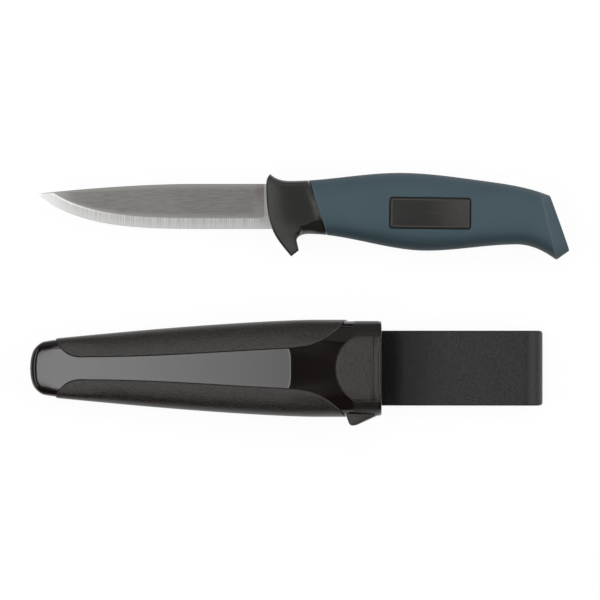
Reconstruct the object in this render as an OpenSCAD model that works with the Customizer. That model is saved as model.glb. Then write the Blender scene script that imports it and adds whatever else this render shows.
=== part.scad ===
// Bushcraft knife lying beside its sheath.
// The knife's own frame: x runs from the guard's front face to the pommel, y from the edge to the spine,
// z from one flat of the blade to the other. The sheath's own frame: x = 0 at the mouth, tip at minus x.

/* [Blade] */
// Length of the blade from the guard to the tip
blade_length = 91; // [75:1:110]
// Height of the blade from the spine to the edge
blade_height = 18; // [15:0.5:21]
// Thickness of the steel
blade_t = 2; // [1.6:0.1:3]
// Width of the ground bevel, square to the edge
bevel_width = 4.1; // [3:0.1:5.5]
// Length of the rising part of the edge, back from the tip
belly_length = 71; // [55:1:72]
// Length of the falling part of the spine, back from the tip
drop_length = 61; // [45:1:70]
// Height of the tip above the middle line of the blade
tip_rise = 5.2; // [3:0.2:6.4]
// Diameter of the two keying holes through the tang
key_hole_d = 4.6; // [3:0.2:5.6]
// Distance between the two keying holes
key_hole_pitch = 34; // [24:1:44]

/* [Guard] */
// Height of the thumb horn above the spine
horn_over = 4; // [2:0.2:6]
// Depth of the finger hook below the edge
hook_under = 11; // [8:0.5:14]
// Distance of the hook's tip behind the guard's front
hook_setback = 9.7; // [8:0.1:12]
// Thickness of the guard at its front
guard_t = 13; // [11:0.5:15]
// Thickness of the finger hook
hook_t = 8; // [6:0.5:10]
// Height of the neck above the spine
neck_over = 1.2; // [0.8:0.1:2.4]
// Depth of the neck below the edge
neck_under = 2; // [1.4:0.1:3]
// Distance from the guard's front to the top of the parting line
parting_at = 17; // [15:0.5:20]
// How far the parting line slants towards the pommel
parting_slant = 7.1; // [4:0.1:9]

/* [Grip] */
// Length of the handle from the guard's front to the pommel
handle_length = 121; // [112:1:135]
// Distance from the guard's front to the swell
swell_at = 56; // [50:1:62]
// Height of the swell above the middle line of the blade
swell_rise = 13.45; // [12:0.1:15]
// Depth of the swell below the middle line of the blade
swell_drop = 17.7; // [15:0.1:20]
// Thickness of the grip at the swell
swell_t = 23; // [21:0.5:25]
// Thickness of the grip at the parting line
neck_t = 16.6; // [15:0.2:18]
// Thickness of the grip at the waist
waist_t = 20; // [18:0.5:22]
// Depth of the waist below the middle line of the blade
waist_drop = 15.2; // [13:0.1:16.4]
// Depth of the pommel's heel below the middle line of the blade
heel_drop = 21.4; // [18:0.2:24]
// Height of the pommel's upper corner above the middle line
end_rise = 4.3; // [3:0.1:6]
// Share of the thickness left at the pommel's end face
end_share = 0.62; // [0.5:0.01:0.9]
// Wall of the soft sleeve over the core
grip_wall = 2.6; // [2.4:0.1:3.2]

/* [Label plates] */
// Length of a plate
plate_length = 32.8; // [26:0.2:36]
// Height of a plate
plate_height = 12.8; // [10:0.2:14]
// Corner radius of a plate
plate_corner = 1.4; // [0.8:0.1:2.4]
// Width of the raised frame round a plate
plate_frame = 1.2; // [0.8:0.1:1.8]
// How far the frame stands proud of the grip
plate_proud = 0.45; // [0.3:0.05:0.7]
// Distance from the guard's front to the middle of a plate
plate_at = 65.2; // [62:0.2:68]
// Depth of a plate's middle below the middle line of the blade
plate_drop = 2.8; // [2:0.1:4.2]

/* [Sheath] */
// How far the sheath's mouth reaches past the guard's front when the knife is home
seat_depth = 37.8; // [34:0.2:42]
// Room between the blade's tip and the sheath's end
tip_room = 12; // [8:0.2:16]
// Clearance between the knife and the cavity at the mouth
sheath_fit = 0.8; // [0.5:0.05:1.2]
// Clearance between the blade's tip and the side of the cavity
tip_side_room = 0.8; // [0.5:0.1:2]
// Wall of the sheath
sheath_wall = 1.6; // [1.2:0.1:2]
// Thickness of the sheath at its tip
tip_t = 14; // [12:0.5:16]
// Radius round the sheath's tip
tip_round = 4; // [2.5:0.25:5]
// Half thickness of the front where it starts to rise to the throat
panel_rise = 9.4; // [9:0.1:10.4]
// Reach of the thumb tab past the side of the mouth
tab_reach = 3.9; // [2.5:0.1:5]
// Thickness of the thumb tab
tab_t = 11; // [7:0.5:13]

/* [Flanks and pad] */
// Height of the grained flanks above the shell
flank_raise = 0.5; // [0.4:0.05:0.8]
// Width of the glossy panel between the flanks, near the tip
panel_tip_w = 8.8; // [7:0.2:11]
// Width of the glossy panel between the flanks, near the throat
panel_throat_w = 15.4; // [12:0.2:18]
// Height of the throat pad above the shell
pad_raise = 0.6; // [0.4:0.05:1]
// Width of the throat pad
pad_w = 27; // [22:0.5:29]
// Length of the throat pad along the sheath
pad_length = 18; // [15:0.5:21]
// Length of the round end of the throat pad
pad_crown = 7.5; // [5:0.5:10]

/* [Belt loop] */
// Width of the strap
strap_w = 30; // [24:0.5:32]
// Thickness of the strap
strap_t = 2; // [1.6:0.1:2.4]
// Reach of the loop past the mouth
loop_reach = 63; // [56:0.5:74]
// Diameter of a rivet's shank
rivet_d = 3.2; // [2.4:0.2:4]
// Diameter of a rivet's head
rivet_head_d = 7; // [5:0.5:8]
// Height of a rivet's head
rivet_head_t = 0.8; // [0.6:0.1:1]
// Distance between the two rivets of a pair
rivet_pitch = 16; // [12:0.5:18]

/* [Layout] */
// Angle at which the sheath lies on its tip and its loop
lie_angle = 5.6; // [5.2:0.1:6.4]
// Distance between the knife's and the sheath's middle lines
lay_gap = 64.7; // [55:0.5:80]
// Distance of the guard's front behind the sheath's mouth
lay_shift = 45.8; // [40:0.2:52]

/* [Hidden] */

steel = "silver";
hard_black = "#1b1b1c";
gloss_black = "#232323";
grained_black = "#3a3736";
soft_blue = "#475d69";
strap_black = "#2b2b2c";
rivet_dark = "dimgray";

// Steps of the lofted shapes
half_steps = 16;
shell_half_steps = 11;
blade_steps = 34;
grip_steps = 30;
shell_steps = 30;
flank_steps = 30;
flank_around = 16;
fold_steps = 16;
round_steps = 48;

// Fullness of the sections: 2 is an ellipse, more is squarer
guard_power = 4;
grip_power = 2.5;
shell_front_power = 3;
shell_back_power = 8;

// Blade
half_blade = blade_height / 2;
spine_power = 1.7;
belly_power = 3.4;
belly_close = 1.3;
bevel_limit = 0.9;
tip_blunt = 0.3;
tip_point = 0.08;
spine_crown = 0.08;
root_depth = 5;
shoulder_length = 3;
root_out = 6;

// Handle outlines, as stations [x, y, slope]
horn_rise = half_blade + horn_over;
hook_drop = half_blade + hook_under;
neck_rise = half_blade + neck_over;
neck_drop = half_blade + neck_under;
horn_x = 1.3;
spine_front_x = -0.25;
edge_front_x = 2.1;
neck_top_x = 9.5;
groove_reach = 6.8;
neck_bottom_x = hook_setback + groove_reach;
swell_lead = 3;
swell_lag = 8;
flow_back = 35.6;
flow_fall = 3.05;
waist_back = 21;
end_top_back = 7.8;
heel_back = 5.2;
heel_lift = 3.7;
heel_flare = 0.5;
facet_width = 3.8;
flow_x = handle_length - flow_back;
waist_x = handle_length - waist_back;
end_top_x = handle_length - end_top_back;
end_bottom_drop = heel_drop - heel_lift;
heel_x = handle_length - heel_back;
facet_top_x = end_top_x - facet_width;
top_line = [[horn_x, horn_rise, -0.9], [neck_top_x, neck_rise, 0], [swell_at - swell_lead, swell_rise, 0],
            [flow_x, swell_rise - flow_fall, -0.135], [end_top_x, end_rise, -0.4]];
bottom_line = [[neck_bottom_x, -neck_drop, 0], [swell_at + swell_lag, -swell_drop, 0],
               [waist_x, -waist_drop, 0], [heel_x, -heel_drop, -0.75]];
side_line = [[parting_at + parting_slant / 2, neck_t / 2, 0.07], [swell_at + swell_lag / 2, swell_t / 2, 0],
             [waist_x, waist_t / 2, 0], [heel_x, waist_t / 2 + heel_flare, 0.05]];

// Front of the guard, as stations [y, x, slope]
front_line = [[-hook_drop, hook_setback, -0.85], [-half_blade, edge_front_x, -0.36],
              [half_blade, spine_front_x, 0], [horn_rise, horn_x, 0.9]];

// Finger hook, and the places of its turns along the guard's bottom line
hook_foot = [3.1, 2.4];
groove_round = [4.6, 2.6];
hook_tip = [hook_setback, -hook_drop];
hook_heel = hook_tip + hook_foot;
hook_root = [neck_bottom_x, -neck_drop] - groove_round;
hook_thin_from = 0.2;
hook_thin_over = 0.6;
heel_turn = 0.16;
root_turn = 0.4;
neck_turn = 0.75;
front_edge = 0.05;
front_edge_share = 0.84;

// Parting line and stem
part_top = [parting_at, along(top_line, parting_at)];
part_bottom = [parting_at + parting_slant, along(bottom_line, parting_at + parting_slant)];
grip_start = parting_at + parting_slant / 2;
grip_end = (facet_top_x + heel_x) / 2;
end_slant = heel_x - facet_top_x;
slant_share = 0.24;
stem_tail = 20;
stem_share = (handle_length - stem_tail - grip_start) / (grip_end - grip_start);

// Tang, kept inside the stem
tang_cover = 2.2;
tang_top = neck_rise - grip_wall - tang_cover;
tang_bottom = grip_wall + tang_cover - neck_drop;
tang_short = 18;
tang_end = handle_length - stem_tail - tang_short;
key_hole_x = (root_depth + tang_end) / 2;

// Label plates
pocket_floor = 0.35;
plate_seat = swell_t / 2 - grip_wall + pocket_floor;
plate_edge = 0.3;
plate_field_drop = 0.4;
plate_insets = [0, plate_edge, plate_frame, plate_frame + plate_edge];
plate_mid_steps = 4;
corner_near = 0.3;
corner_far = 0.62;

// Sheath, sized to take the knife
knife_offset = (hook_drop - horn_rise) / 2;
mouth_half_w = (horn_rise + hook_drop) / 2 + sheath_fit + sheath_wall;
tip_half_w = tip_rise + knife_offset + tip_side_room + sheath_wall;
mouth_half_t = along(side_line, seat_depth) + sheath_fit / 2 + sheath_wall;
sheath_length = seat_depth + blade_length + tip_room;
tip_wall = 3;
widest_at = 27.6;
taper_short = 7;
taper_length = sheath_length - widest_at - taper_short;
taper_power = 1.4;
collar_length = 14.4;
throat_start = 40;
back_flat = 50;
front_line_t = [[-sheath_length, tip_t / 2, 0.02], [-throat_start, panel_rise, 0.03],
                [-collar_length, mouth_half_t, 0.03], [0, mouth_half_t, 0]];
back_line_t = [[-sheath_length, tip_t / 2, 0.05], [-back_flat, mouth_half_t, 0], [0, mouth_half_t, 0]];
tip_rings = 6;
tip_flat = 0.7;

// Flanks and pad lie a hair off the shell
skin_gap = 0.12;
flank_start = 9.6;
flank_blend = 25;
flank_rim_angle = 2;
flank_back_angle = -42;
flank_tip_in = 0.3;
flank_end_in = 0.7;
flank_line = [[flank_start - sheath_length, tip_half_w - flank_tip_in, -1.6],
              [flank_blend - sheath_length, panel_tip_w / 2, 0], [-throat_start, panel_throat_w / 2, 0.05],
              [-collar_length, mouth_half_w - flank_end_in, 1.2]];
pad_lip = 0.6;
pad_edge = 0.5;
pad_rows = 14;
pad_columns = 6;
pad_right = mouth_half_t * tan(lie_angle) - pad_lip;
pad_radius = (pow(pad_w / 2, 2) + pow(pad_crown, 2)) / (2 * pad_crown);

// Thumb tab: places along it from its front end, and the depth of its root in the wall
tab_from = 13.7;
tab_length = 11.7;
tab_lead = 1.1;
tab_crest = [1.9, 3.3];
tab_shoulder = 0.8;
tab_root = 0.75 * sheath_wall;

// Belt loop, lying on the same floor as the sheath's tip
strap_gap = 0.1;
front_end = 20;
front_rivet_x = -12;
rear_start = 48;
rear_rivet_x = -40;
rear_leave = 32;
rear_land = 2;
rivet_tail_t = 0.5;
rivet_tail_less = 1.6;
rivet_tail_d = rivet_head_d - rivet_tail_less;
floor_drop = -min([for (x = [-sheath_length:1:0]) lowest(x)]);
seat_z = -mouth_half_t - strap_gap;
fold_r = (floor_drop + loop_reach * sin(lie_angle) + seat_z * cos(lie_angle))
         / (1 + sin(lie_angle) + cos(lie_angle));
fold_x = loop_reach - fold_r;

// Layout of the two pieces about the middle of their common box
knife_z = max([for (row = plate_grid()) for (p = row) p[2]]);
tip_reach = sheath_length * cos(lie_angle) + (tip_t / 2 - tip_round * tip_flat) * sin(lie_angle);
box_x = (handle_length - lay_shift - tip_reach) / 2;
box_y = (swell_rise + lay_gap - mouth_half_w - tab_reach) / 2;

// Height above the floor, before lifting, of the shell's back at x
function lowest(x) = x * sin(lie_angle) - shell_back_t(x) * cos(lie_angle);
// Height of the floor in the sheath's own frame at x
function floor_at(x) = (-floor_drop - x * sin(lie_angle)) / cos(lie_angle);

// Smooth curve between two stations [place, value, slope]
function smooth_between(a, b, t) =
    let (span = b[0] - a[0], s = (t - a[0]) / span)
    a[1] * (1 + 2 * s) * pow(1 - s, 2) + b[1] * s * s * (3 - 2 * s)
    + span * (a[2] * s * pow(1 - s, 2) - b[2] * s * s * (1 - s));

// Value of a smooth curve through stations, held level past its ends
function along(stations, t, i = 0) =
    let (last = len(stations) - 1)
    t <= stations[0][0] ? stations[0][1]
    : t >= stations[last][0] ? stations[last][1]
    : t <= stations[i + 1][0] ? smooth_between(stations[i], stations[i + 1], t)
    : along(stations, t, i + 1);

function mix(a, b, s) = a + (b - a) * s;
function steps_to(a, b, steps) = [for (i = [1:steps]) mix(a, b, i / steps)];
function ease(s) = let (t = max(0, min(1, s))) t * t * (3 - 2 * t);
function full(c, power) = pow(1 - pow(min(1, abs(c)), power), 1 / power);

// Whole ring from a half ring and its mirror image
function both_sides(half, flip) =
    concat(half, [for (i = [len(half) - 2:-1:1]) [for (k = [0:2]) half[i][k] * flip[k]]]);

// Half-circle steps from 1 to -1
function rounds(steps) = [for (i = [0:steps]) i == 0 ? 1 : i == steps ? -1 : cos(180 * i / steps)];

// Spine, edge and bevel heights of the blade at a distance behind the tip
function spine_y(back) =
    half_blade - (half_blade - tip_rise) * pow(max(0, 1 - back / drop_length), spine_power);
function edge_y(back) =
    let (s = max(0, 1 - back / belly_length))
    -half_blade + (half_blade + tip_rise) * (1 - pow(1 - pow(s, belly_power), 1 / belly_close));
function bevel_tall(back) =
    let (step = 0.2, slope = (edge_y(back) - edge_y(back + step)) / step)
    bevel_width * sqrt(1 + slope * slope);

// Ring of the blade: middle of the spine, corner, bevel line, edge
function blade_ring(back) =
    let (at = max(back, tip_blunt), top = spine_y(at), low = edge_y(at), tall = bevel_tall(at),
         bevel = min(low + tall, mix(low, top, bevel_limit)), x = back - blade_length)
    both_sides([[x, top + spine_crown, 0], [x, top, flat_z(top - low, tall)],
                [x, bevel, flat_z(bevel - low, tall)], [x, low, 0]], [1, 1, -1]);
// Half thickness of the blade at a height above its edge
function flat_z(over, tall) = max(tip_point, blade_t / 2 * min(1, over / tall));
function tang_ring(x) =
    both_sides([[x, tang_top + spine_crown, 0], [x, tang_top, blade_t / 2], [x, tang_bottom, blade_t / 2],
                [x, tang_bottom - spine_crown, 0]], [1, 1, -1]);
function root_rings() =
    [blade_ring(blade_length + root_depth), tang_ring(root_depth + shoulder_length), tang_ring(tang_end)];

// Bottom line of the guard, from the hook's tip to the parting line
function guard_bottom(v) =
    v <= heel_turn ? mix(hook_tip, hook_heel, v / heel_turn)
    : v <= root_turn ? mix(hook_heel, hook_root, (v - heel_turn) / (root_turn - heel_turn))
    : v <= neck_turn ? groove_point(90 * (v - root_turn) / (neck_turn - root_turn))
    : let (x = mix(neck_bottom_x, part_bottom[0], (v - neck_turn) / (1 - neck_turn)))
      [x, along(bottom_line, x)];
function groove_point(angle) =
    [mix(neck_bottom_x, hook_root[0], cos(angle)), mix(hook_root[1], -neck_drop, sin(angle))];
function guard_top(v) = let (x = mix(horn_x, part_top[0], v)) [x, along(top_line, x)];
function guard_front(u) =
    let (y = mix(horn_rise, -hook_drop, u)) [along(front_line, y), y];

// Point of the guard's side view, filled in between its four border lines
function guard_point(u, v) =
    mix(guard_front(u), mix(part_top, part_bottom, u), v) + mix(guard_top(v), guard_bottom(v), u)
    - mix(mix(guard_front(0), guard_front(1), u), mix(part_top, part_bottom, u), v);
function guard_ring(v, share = 1) =
    let (half_t = mix(guard_t, neck_t, v) / 2, power = mix(guard_power, grip_power, v))
    both_sides([for (c = rounds(half_steps))
        let (p = guard_point((1 - c) / 2, v), hooked = ease((-c - hook_thin_from) / hook_thin_over),
             thin = mix(1, hook_t / guard_t, hooked * (1 - v)))
        [p[0], p[1], half_t * thin * full(c, power) * share]], [1, 1, -1]);

// Ring of the grip between a top and a bottom point, drawn in by an inset
function grip_ring(top, bottom, half_t, inset = 0) =
    let (share = inset / norm(top - bottom), high = mix(top, bottom, share), low = mix(bottom, top, share))
    both_sides([for (c = rounds(half_steps)) let (p = mix(high, low, (1 - c) / 2))
        [p[0], p[1], (half_t - inset) * full(c, grip_power)]], [1, 1, -1]);
function grip_section(s, inset = 0) =
    let (x = mix(grip_start, grip_end, s),
         lean = parting_slant * pow(max(0, 1 - s / slant_share), 2)
                + end_slant * pow(max(0, 1 - (1 - s) / slant_share), 2),
         front = x - lean / 2, rear = x + lean / 2)
    grip_ring([front, along(top_line, front)], [rear, along(bottom_line, rear)], along(side_line, x), inset);
function end_ring() =
    grip_ring([end_top_x, end_rise], [handle_length, -end_bottom_drop], along(side_line, heel_x) * end_share);
function stem_rings() =
    [for (i = [0:grip_steps]) if (i / grip_steps < stem_share) grip_section(i / grip_steps, grip_wall)];

// Height of the grip's side over a point of its side view
function grip_z(x, y) =
    let (top = along(top_line, x), bottom = along(bottom_line, x),
         c = (2 * y - top - bottom) / (top - bottom))
    along(side_line, x) * full(c, grip_power);

// Rows and columns of a label plate, and the height of its face at a distance from its border
function plate_half_h(x) =
    let (past = max(0, abs(x) - plate_length / 2 + plate_corner))
    plate_height / 2 - plate_corner + sqrt(max(0, pow(plate_corner, 2) - pow(past, 2)));
function plate_marks(half) =
    let (inner = half - plate_frame - plate_edge)
    concat([for (d = plate_insets) d - half],
           [for (i = [1:plate_mid_steps - 1]) mix(-inner, inner, i / plate_mid_steps)],
           [for (i = [len(plate_insets) - 1:-1:0]) half - plate_insets[i]]);
function plate_columns(half) =
    let (near = half - plate_corner * corner_near)
    concat([-half, -near], plate_marks(half - plate_corner * corner_far), [near, half]);
function plate_lift(depth) =
    depth <= plate_edge ? mix(plate_proud - plate_edge, plate_proud, depth / plate_edge)
    : depth <= plate_frame ? plate_proud
    : plate_proud - plate_field_drop * min(1, (depth - plate_frame) / plate_edge);
function plate_grid() =
    [for (x = plate_columns(plate_length / 2)) let (half = plate_half_h(x)) [for (y = plate_marks(half))
        let (depth = min(plate_length / 2 - abs(x), half - abs(y)))
        [plate_at + x, y - plate_drop, grip_z(plate_at + x, y - plate_drop) + plate_lift(depth)]]];
function plate_outline() =
    let (xs = plate_columns(plate_length / 2))
    concat([for (x = xs) [plate_at + x, plate_half_h(x) - plate_drop]],
           [for (i = [len(xs) - 1:-1:0]) [plate_at + xs[i], -plate_half_h(xs[i]) - plate_drop]]);

// Half width and half thicknesses of the shell at x
function shell_half_w(x) =
    mouth_half_w - (mouth_half_w - tip_half_w) * pow(max(0, (-x - widest_at) / taper_length), taper_power);
function tip_inset(x, radius) =
    let (d = max(0, radius - (x + sheath_length))) radius - sqrt(max(0, radius * radius - d * d));
function shell_front_t(x) = along(front_line_t, x) - tip_inset(x, tip_round) * tip_flat;
function shell_back_t(x) = along(back_line_t, x) - tip_inset(x, tip_round) * tip_flat;

// The mouth is cut upright while the sheath lies at its angle, so its rings lean more and more towards it
function mouth_lean(x) = tan(lie_angle) * ease(1 + x / collar_length);

// Point of the shell at x and an angle from the side: 90 is the middle of the front, -90 of the back
function shell_point(x, angle, lift = 0) =
    let (front = angle >= 0, power = front ? shell_front_power : shell_back_power,
         half_w = shell_half_w(x) - tip_inset(x, tip_round) + lift,
         half_t = (front ? shell_front_t(x) : shell_back_t(x)) + lift,
         across = pow(max(0, cos(angle)), 2 / power), out = pow(abs(sin(angle)), 2 / power))
    [x, half_w * across, half_t * out * (front ? 1 : -1)];
function shell_ring(x, lift = 0) =
    both_sides([for (i = [0:2 * shell_half_steps])
        let (p = shell_point(x, 90 - 90 * i / shell_half_steps, lift),
             middle = i == 0 || i == 2 * shell_half_steps)
        [x + p[2] * mouth_lean(x), middle ? 0 : p[1], p[2]]], [1, -1, 1]);
function shell_front_z(x, y) =
    shell_front_t(x) * full(y / (shell_half_w(x) - tip_inset(x, tip_round)), shell_front_power);

// Angle on the shell's front at which it reaches a distance from the middle line
function front_angle(x, y) = acos(min(1, pow(y / shell_half_w(x), shell_front_power / 2)));

// Closed solid through a list of rings, its two end rings closed by strips across
module skin(rings) {
    around = len(rings[0]);
    last = (len(rings) - 1) * around;
    sides = [for (r = [0:len(rings) - 2], i = [0:around - 1])
        let (j = (i + 1) % around, a = r * around, b = a + around)
        each [[a + i, b + i, b + j], [a + i, b + j, a + j]]];
    polyhedron([for (ring = rings) each ring],
               concat(sides, end_strips(0, around, false), end_strips(last, around, true)), convexity = 8);
}
function end_strips(base, around, turned) =
    let (half = around / 2)
    [for (i = [0:half - 1])
        let (strip = i == 0 ? [0, 1, around - 1]
                     : i == half - 1 ? [i, half, around - i]
                     : [i, i + 1, around - i - 1, around - i])
        [for (k = [0:len(strip) - 1]) base + strip[turned ? len(strip) - 1 - k : k]]];

// Closed solid between two grids of points of the same size
module slab(upper, lower) {
    rows = len(upper);
    columns = len(upper[0]);
    count = rows * columns;
    rim = concat([for (c = [0:columns - 1]) c], [for (r = [1:rows - 1]) r * columns + columns - 1],
                 [for (c = [columns - 2:-1:0]) (rows - 1) * columns + c],
                 [for (r = [rows - 2:-1:1]) r * columns]);
    faces = [for (r = [0:rows - 2], c = [0:columns - 2])
        let (a = r * columns + c, b = a + columns)
        each [[a, a + 1, b + 1], [a, b + 1, b],
              [count + a, count + b + 1, count + a + 1], [count + a, count + b, count + b + 1]]];
    walls = [for (k = [0:len(rim) - 1])
        let (a = rim[k], b = rim[(k + 1) % len(rim)])
        each [[a, count + a, count + b], [a, count + b, b]]];
    polyhedron(concat([for (row = upper) each row], [for (row = lower) each row]), concat(faces, walls),
               convexity = 6);
}

module lay_knife() {
    translate([-lay_shift - box_x, lay_gap - box_y, knife_z]) children();
}
module lay_sheath() {
    translate([-box_x, -box_y, floor_drop]) rotate([0, -lie_angle, 0]) children();
}

module key_pins() {
    for (side = [-1, 1])
        translate([key_hole_x + side * key_hole_pitch / 2, (tang_top + tang_bottom) / 2, -blade_t])
            cylinder(d = key_hole_d, h = 2 * blade_t, $fn = round_steps);
}

module blade() {
    backs = [for (i = [0:blade_steps]) blade_length * (1 - cos(90 * i / blade_steps))];
    color(steel) lay_knife() difference() {
        skin(concat([for (back = backs) blade_ring(back)], root_rings()));
        key_pins();
    }
}

module handle_core() {
    color(hard_black) lay_knife() difference() {
        skin(concat([guard_ring(0, front_edge_share)], [for (v = guard_marks()) guard_ring(v)],
                    stem_rings()));
        difference() {
            skin(concat([blade_ring(blade_length - root_out)], root_rings()));
            key_pins();
        }
    }
}
function guard_marks() =
    concat([front_edge], steps_to(front_edge, heel_turn, 2), steps_to(heel_turn, root_turn, 3),
           steps_to(root_turn, neck_turn, 5), steps_to(neck_turn, 1, 3));

module plate_pocket() {
    translate([0, 0, plate_seat]) linear_extrude(height = swell_t) polygon(plate_outline());
}

module grip_sleeve() {
    stem = stem_rings();
    color(soft_blue) lay_knife() difference() {
        skin(concat([for (i = [len(stem) - 1:-1:0]) stem[i]],
                    [for (i = [0:grip_steps]) grip_section(i / grip_steps)], [end_ring()]));
        plate_pocket();
        mirror([0, 0, 1]) plate_pocket();
    }
}

module label_plate() {
    face = plate_grid();
    slab(face, [for (row = face) [for (p = row) [p[0], p[1], plate_seat]]]);
}
module label_plate_front() {
    color(hard_black) lay_knife() label_plate();
}
module label_plate_back() {
    color(hard_black) lay_knife() mirror([0, 0, 1]) label_plate();
}

module thumb_tab() {
    translate([-tab_from, -mouth_half_w, -tab_t / 2]) linear_extrude(height = tab_t)
        polygon([[0, tab_root], [0, 0], [tab_lead, -tab_shoulder * tab_reach], [tab_crest[0], -tab_reach],
                 [tab_crest[1], -tab_reach], [tab_length, 0], [tab_length, tab_root]]);
}

module sheath_shell() {
    inner_end = tip_wall - sheath_length;
    cavity = [for (i = [0:shell_steps]) shell_ring(mix(inner_end, 0, i / shell_steps), -sheath_wall)];
    body = [for (i = [0:shell_steps]) shell_ring(mix(0, tip_round - sheath_length, i / shell_steps))];
    tip = [for (i = [1:tip_rings]) shell_ring(tip_round * (1 - sin(90 * i / tip_rings)) - sheath_length)];
    color(gloss_black) lay_sheath() difference() {
        union() {
            skin(concat(cavity, body, tip));
            thumb_tab();
        }
        rivet_holes(front_rivet_x);
        rivet_holes(rear_rivet_x);
    }
}

module flank() {
    xs = [for (c = rounds(flank_steps)) mix(flank_start - sheath_length, -collar_length, (1 - c) / 2)];
    function angles(x) =
        let (start = front_angle(x, along(flank_line, x)), from = start - flank_rim_angle,
             to = flank_back_angle + flank_rim_angle)
        concat([start], [for (i = [0:flank_around]) mix(from, to, i / flank_around)], [flank_back_angle]);
    function grid(low, high) =
        [for (i = [0:flank_steps]) let (at = angles(xs[i]), last = len(at) - 1)
            [for (k = [0:last]) let (rim = k == 0 || k == last || i == 0 || i == flank_steps)
                shell_point(xs[i], at[k], rim ? low : high)]];
    slab(grid(flank_raise / 2, flank_raise), grid(skin_gap, skin_gap));
}
module upper_flank() {
    color(grained_black) lay_sheath() flank();
}
module lower_flank() {
    color(grained_black) lay_sheath() mirror([0, 1, 0]) flank();
}

module throat_pad() {
    half = pad_w / 2 - pad_edge;
    ys = concat([-pad_w / 2], [for (i = [0:pad_rows]) mix(-half, half, i / pad_rows)], [pad_w / 2]);
    function left(y) = pad_right - pad_length + pad_radius - sqrt(pow(pad_radius, 2) - y * y);
    function columns(y) =
        let (from = left(y) + pad_edge, to = pad_right - pad_edge)
        concat([left(y)], [for (i = [0:pad_columns]) mix(from, to, i / pad_columns)], [pad_right]);
    function grid(low, high) =
        [for (r = [0:len(ys) - 1]) let (y = ys[r], xs = columns(y), last = len(xs) - 1)
            [for (c = [0:last]) let (rim = r == 0 || r == len(ys) - 1 || c == 0 || c == last)
                [xs[c], y, shell_front_z(xs[c], y) + (rim ? low : high)]]];
    color(grained_black) lay_sheath() slab(grid(pad_raise / 2, pad_raise), grid(skin_gap, skin_gap));
}

// Middle line of the strap, from its front end round the fold to its rear end
function strap_path() =
    let (half = strap_t / 2, front_z = seat_z - half, r = fold_r - half, turn = 180 + lie_angle,
         middle = [fold_x, front_z - r])
    concat([[-front_end, front_z]],
           [for (i = [0:fold_steps]) let (angle = 90 - turn * i / fold_steps)
               middle + r * [cos(angle), sin(angle)]],
           [[rear_land, floor_at(rear_land) + half / cos(lie_angle)], [-rear_leave, front_z],
            [-rear_start, front_z]]);

// Outline of a band of a given width along a path
function band(path, width) =
    let (last = len(path) - 1,
         ways = [for (i = [0:last - 1]) let (d = path[i + 1] - path[i]) d / norm(d)],
         sides = [for (i = [0:last])
             let (a = ways[max(0, i - 1)], b = ways[min(last - 1, i)], m = (a + b) / norm(a + b))
             [-m[1], m[0]] / (m * b)])
    concat([for (i = [0:last]) path[i] + sides[i] * width / 2],
           [for (i = [last:-1:0]) path[i] - sides[i] * width / 2]);

module belt_loop() {
    color(strap_black) lay_sheath() difference() {
        translate([0, strap_w / 2, 0]) rotate([90, 0, 0]) linear_extrude(height = strap_w)
            polygon(band(strap_path(), strap_t));
        rivet_holes(front_rivet_x, seat_z - strap_t);
        rivet_holes(rear_rivet_x, seat_z - strap_t);
    }
}

// Rivet holes and rivets, through the strap and the shell's back wall
module rivet_holes(x, low = -mouth_half_t - sheath_wall) {
    for (side = [-1, 1])
        translate([x, side * rivet_pitch / 2, low - strap_gap])
            cylinder(d = rivet_d, h = -mouth_half_t + 2 * sheath_wall - low, $fn = round_steps);
}
module rivets(x) {
    head_z = seat_z - strap_t - rivet_head_t;
    tail_z = sheath_wall - mouth_half_t + strap_gap;
    for (side = [-1, 1])
        translate([x, side * rivet_pitch / 2, head_z]) {
            cylinder(d = rivet_head_d, h = rivet_head_t, $fn = round_steps);
            cylinder(d = rivet_d, h = tail_z + rivet_tail_t - head_z, $fn = round_steps);
            translate([0, 0, tail_z - head_z])
                cylinder(d = rivet_tail_d, h = rivet_tail_t, $fn = round_steps);
        }
}
module front_rivets() {
    color(rivet_dark) lay_sheath() rivets(front_rivet_x);
}
module rear_rivets() {
    color(rivet_dark) lay_sheath() rivets(rear_rivet_x);
}

blade();
handle_core();
grip_sleeve();
label_plate_front();
label_plate_back();
sheath_shell();
upper_flank();
lower_flank();
throat_pad();
belt_loop();
front_rivets();
rear_rivets();
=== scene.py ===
"""Looks of a bushcraft knife lying beside its sheath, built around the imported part.

Shapes are worked out in millimetres in two frames. In the knife's, x runs from the guard's front to the
pommel, y from the edge to the spine and z across the flats. In the sheath's, the mouth is at x = 0, the tip
at minus x and the front at plus z. A curve is a list of stations (place, value, slope).
"""

import math

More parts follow.
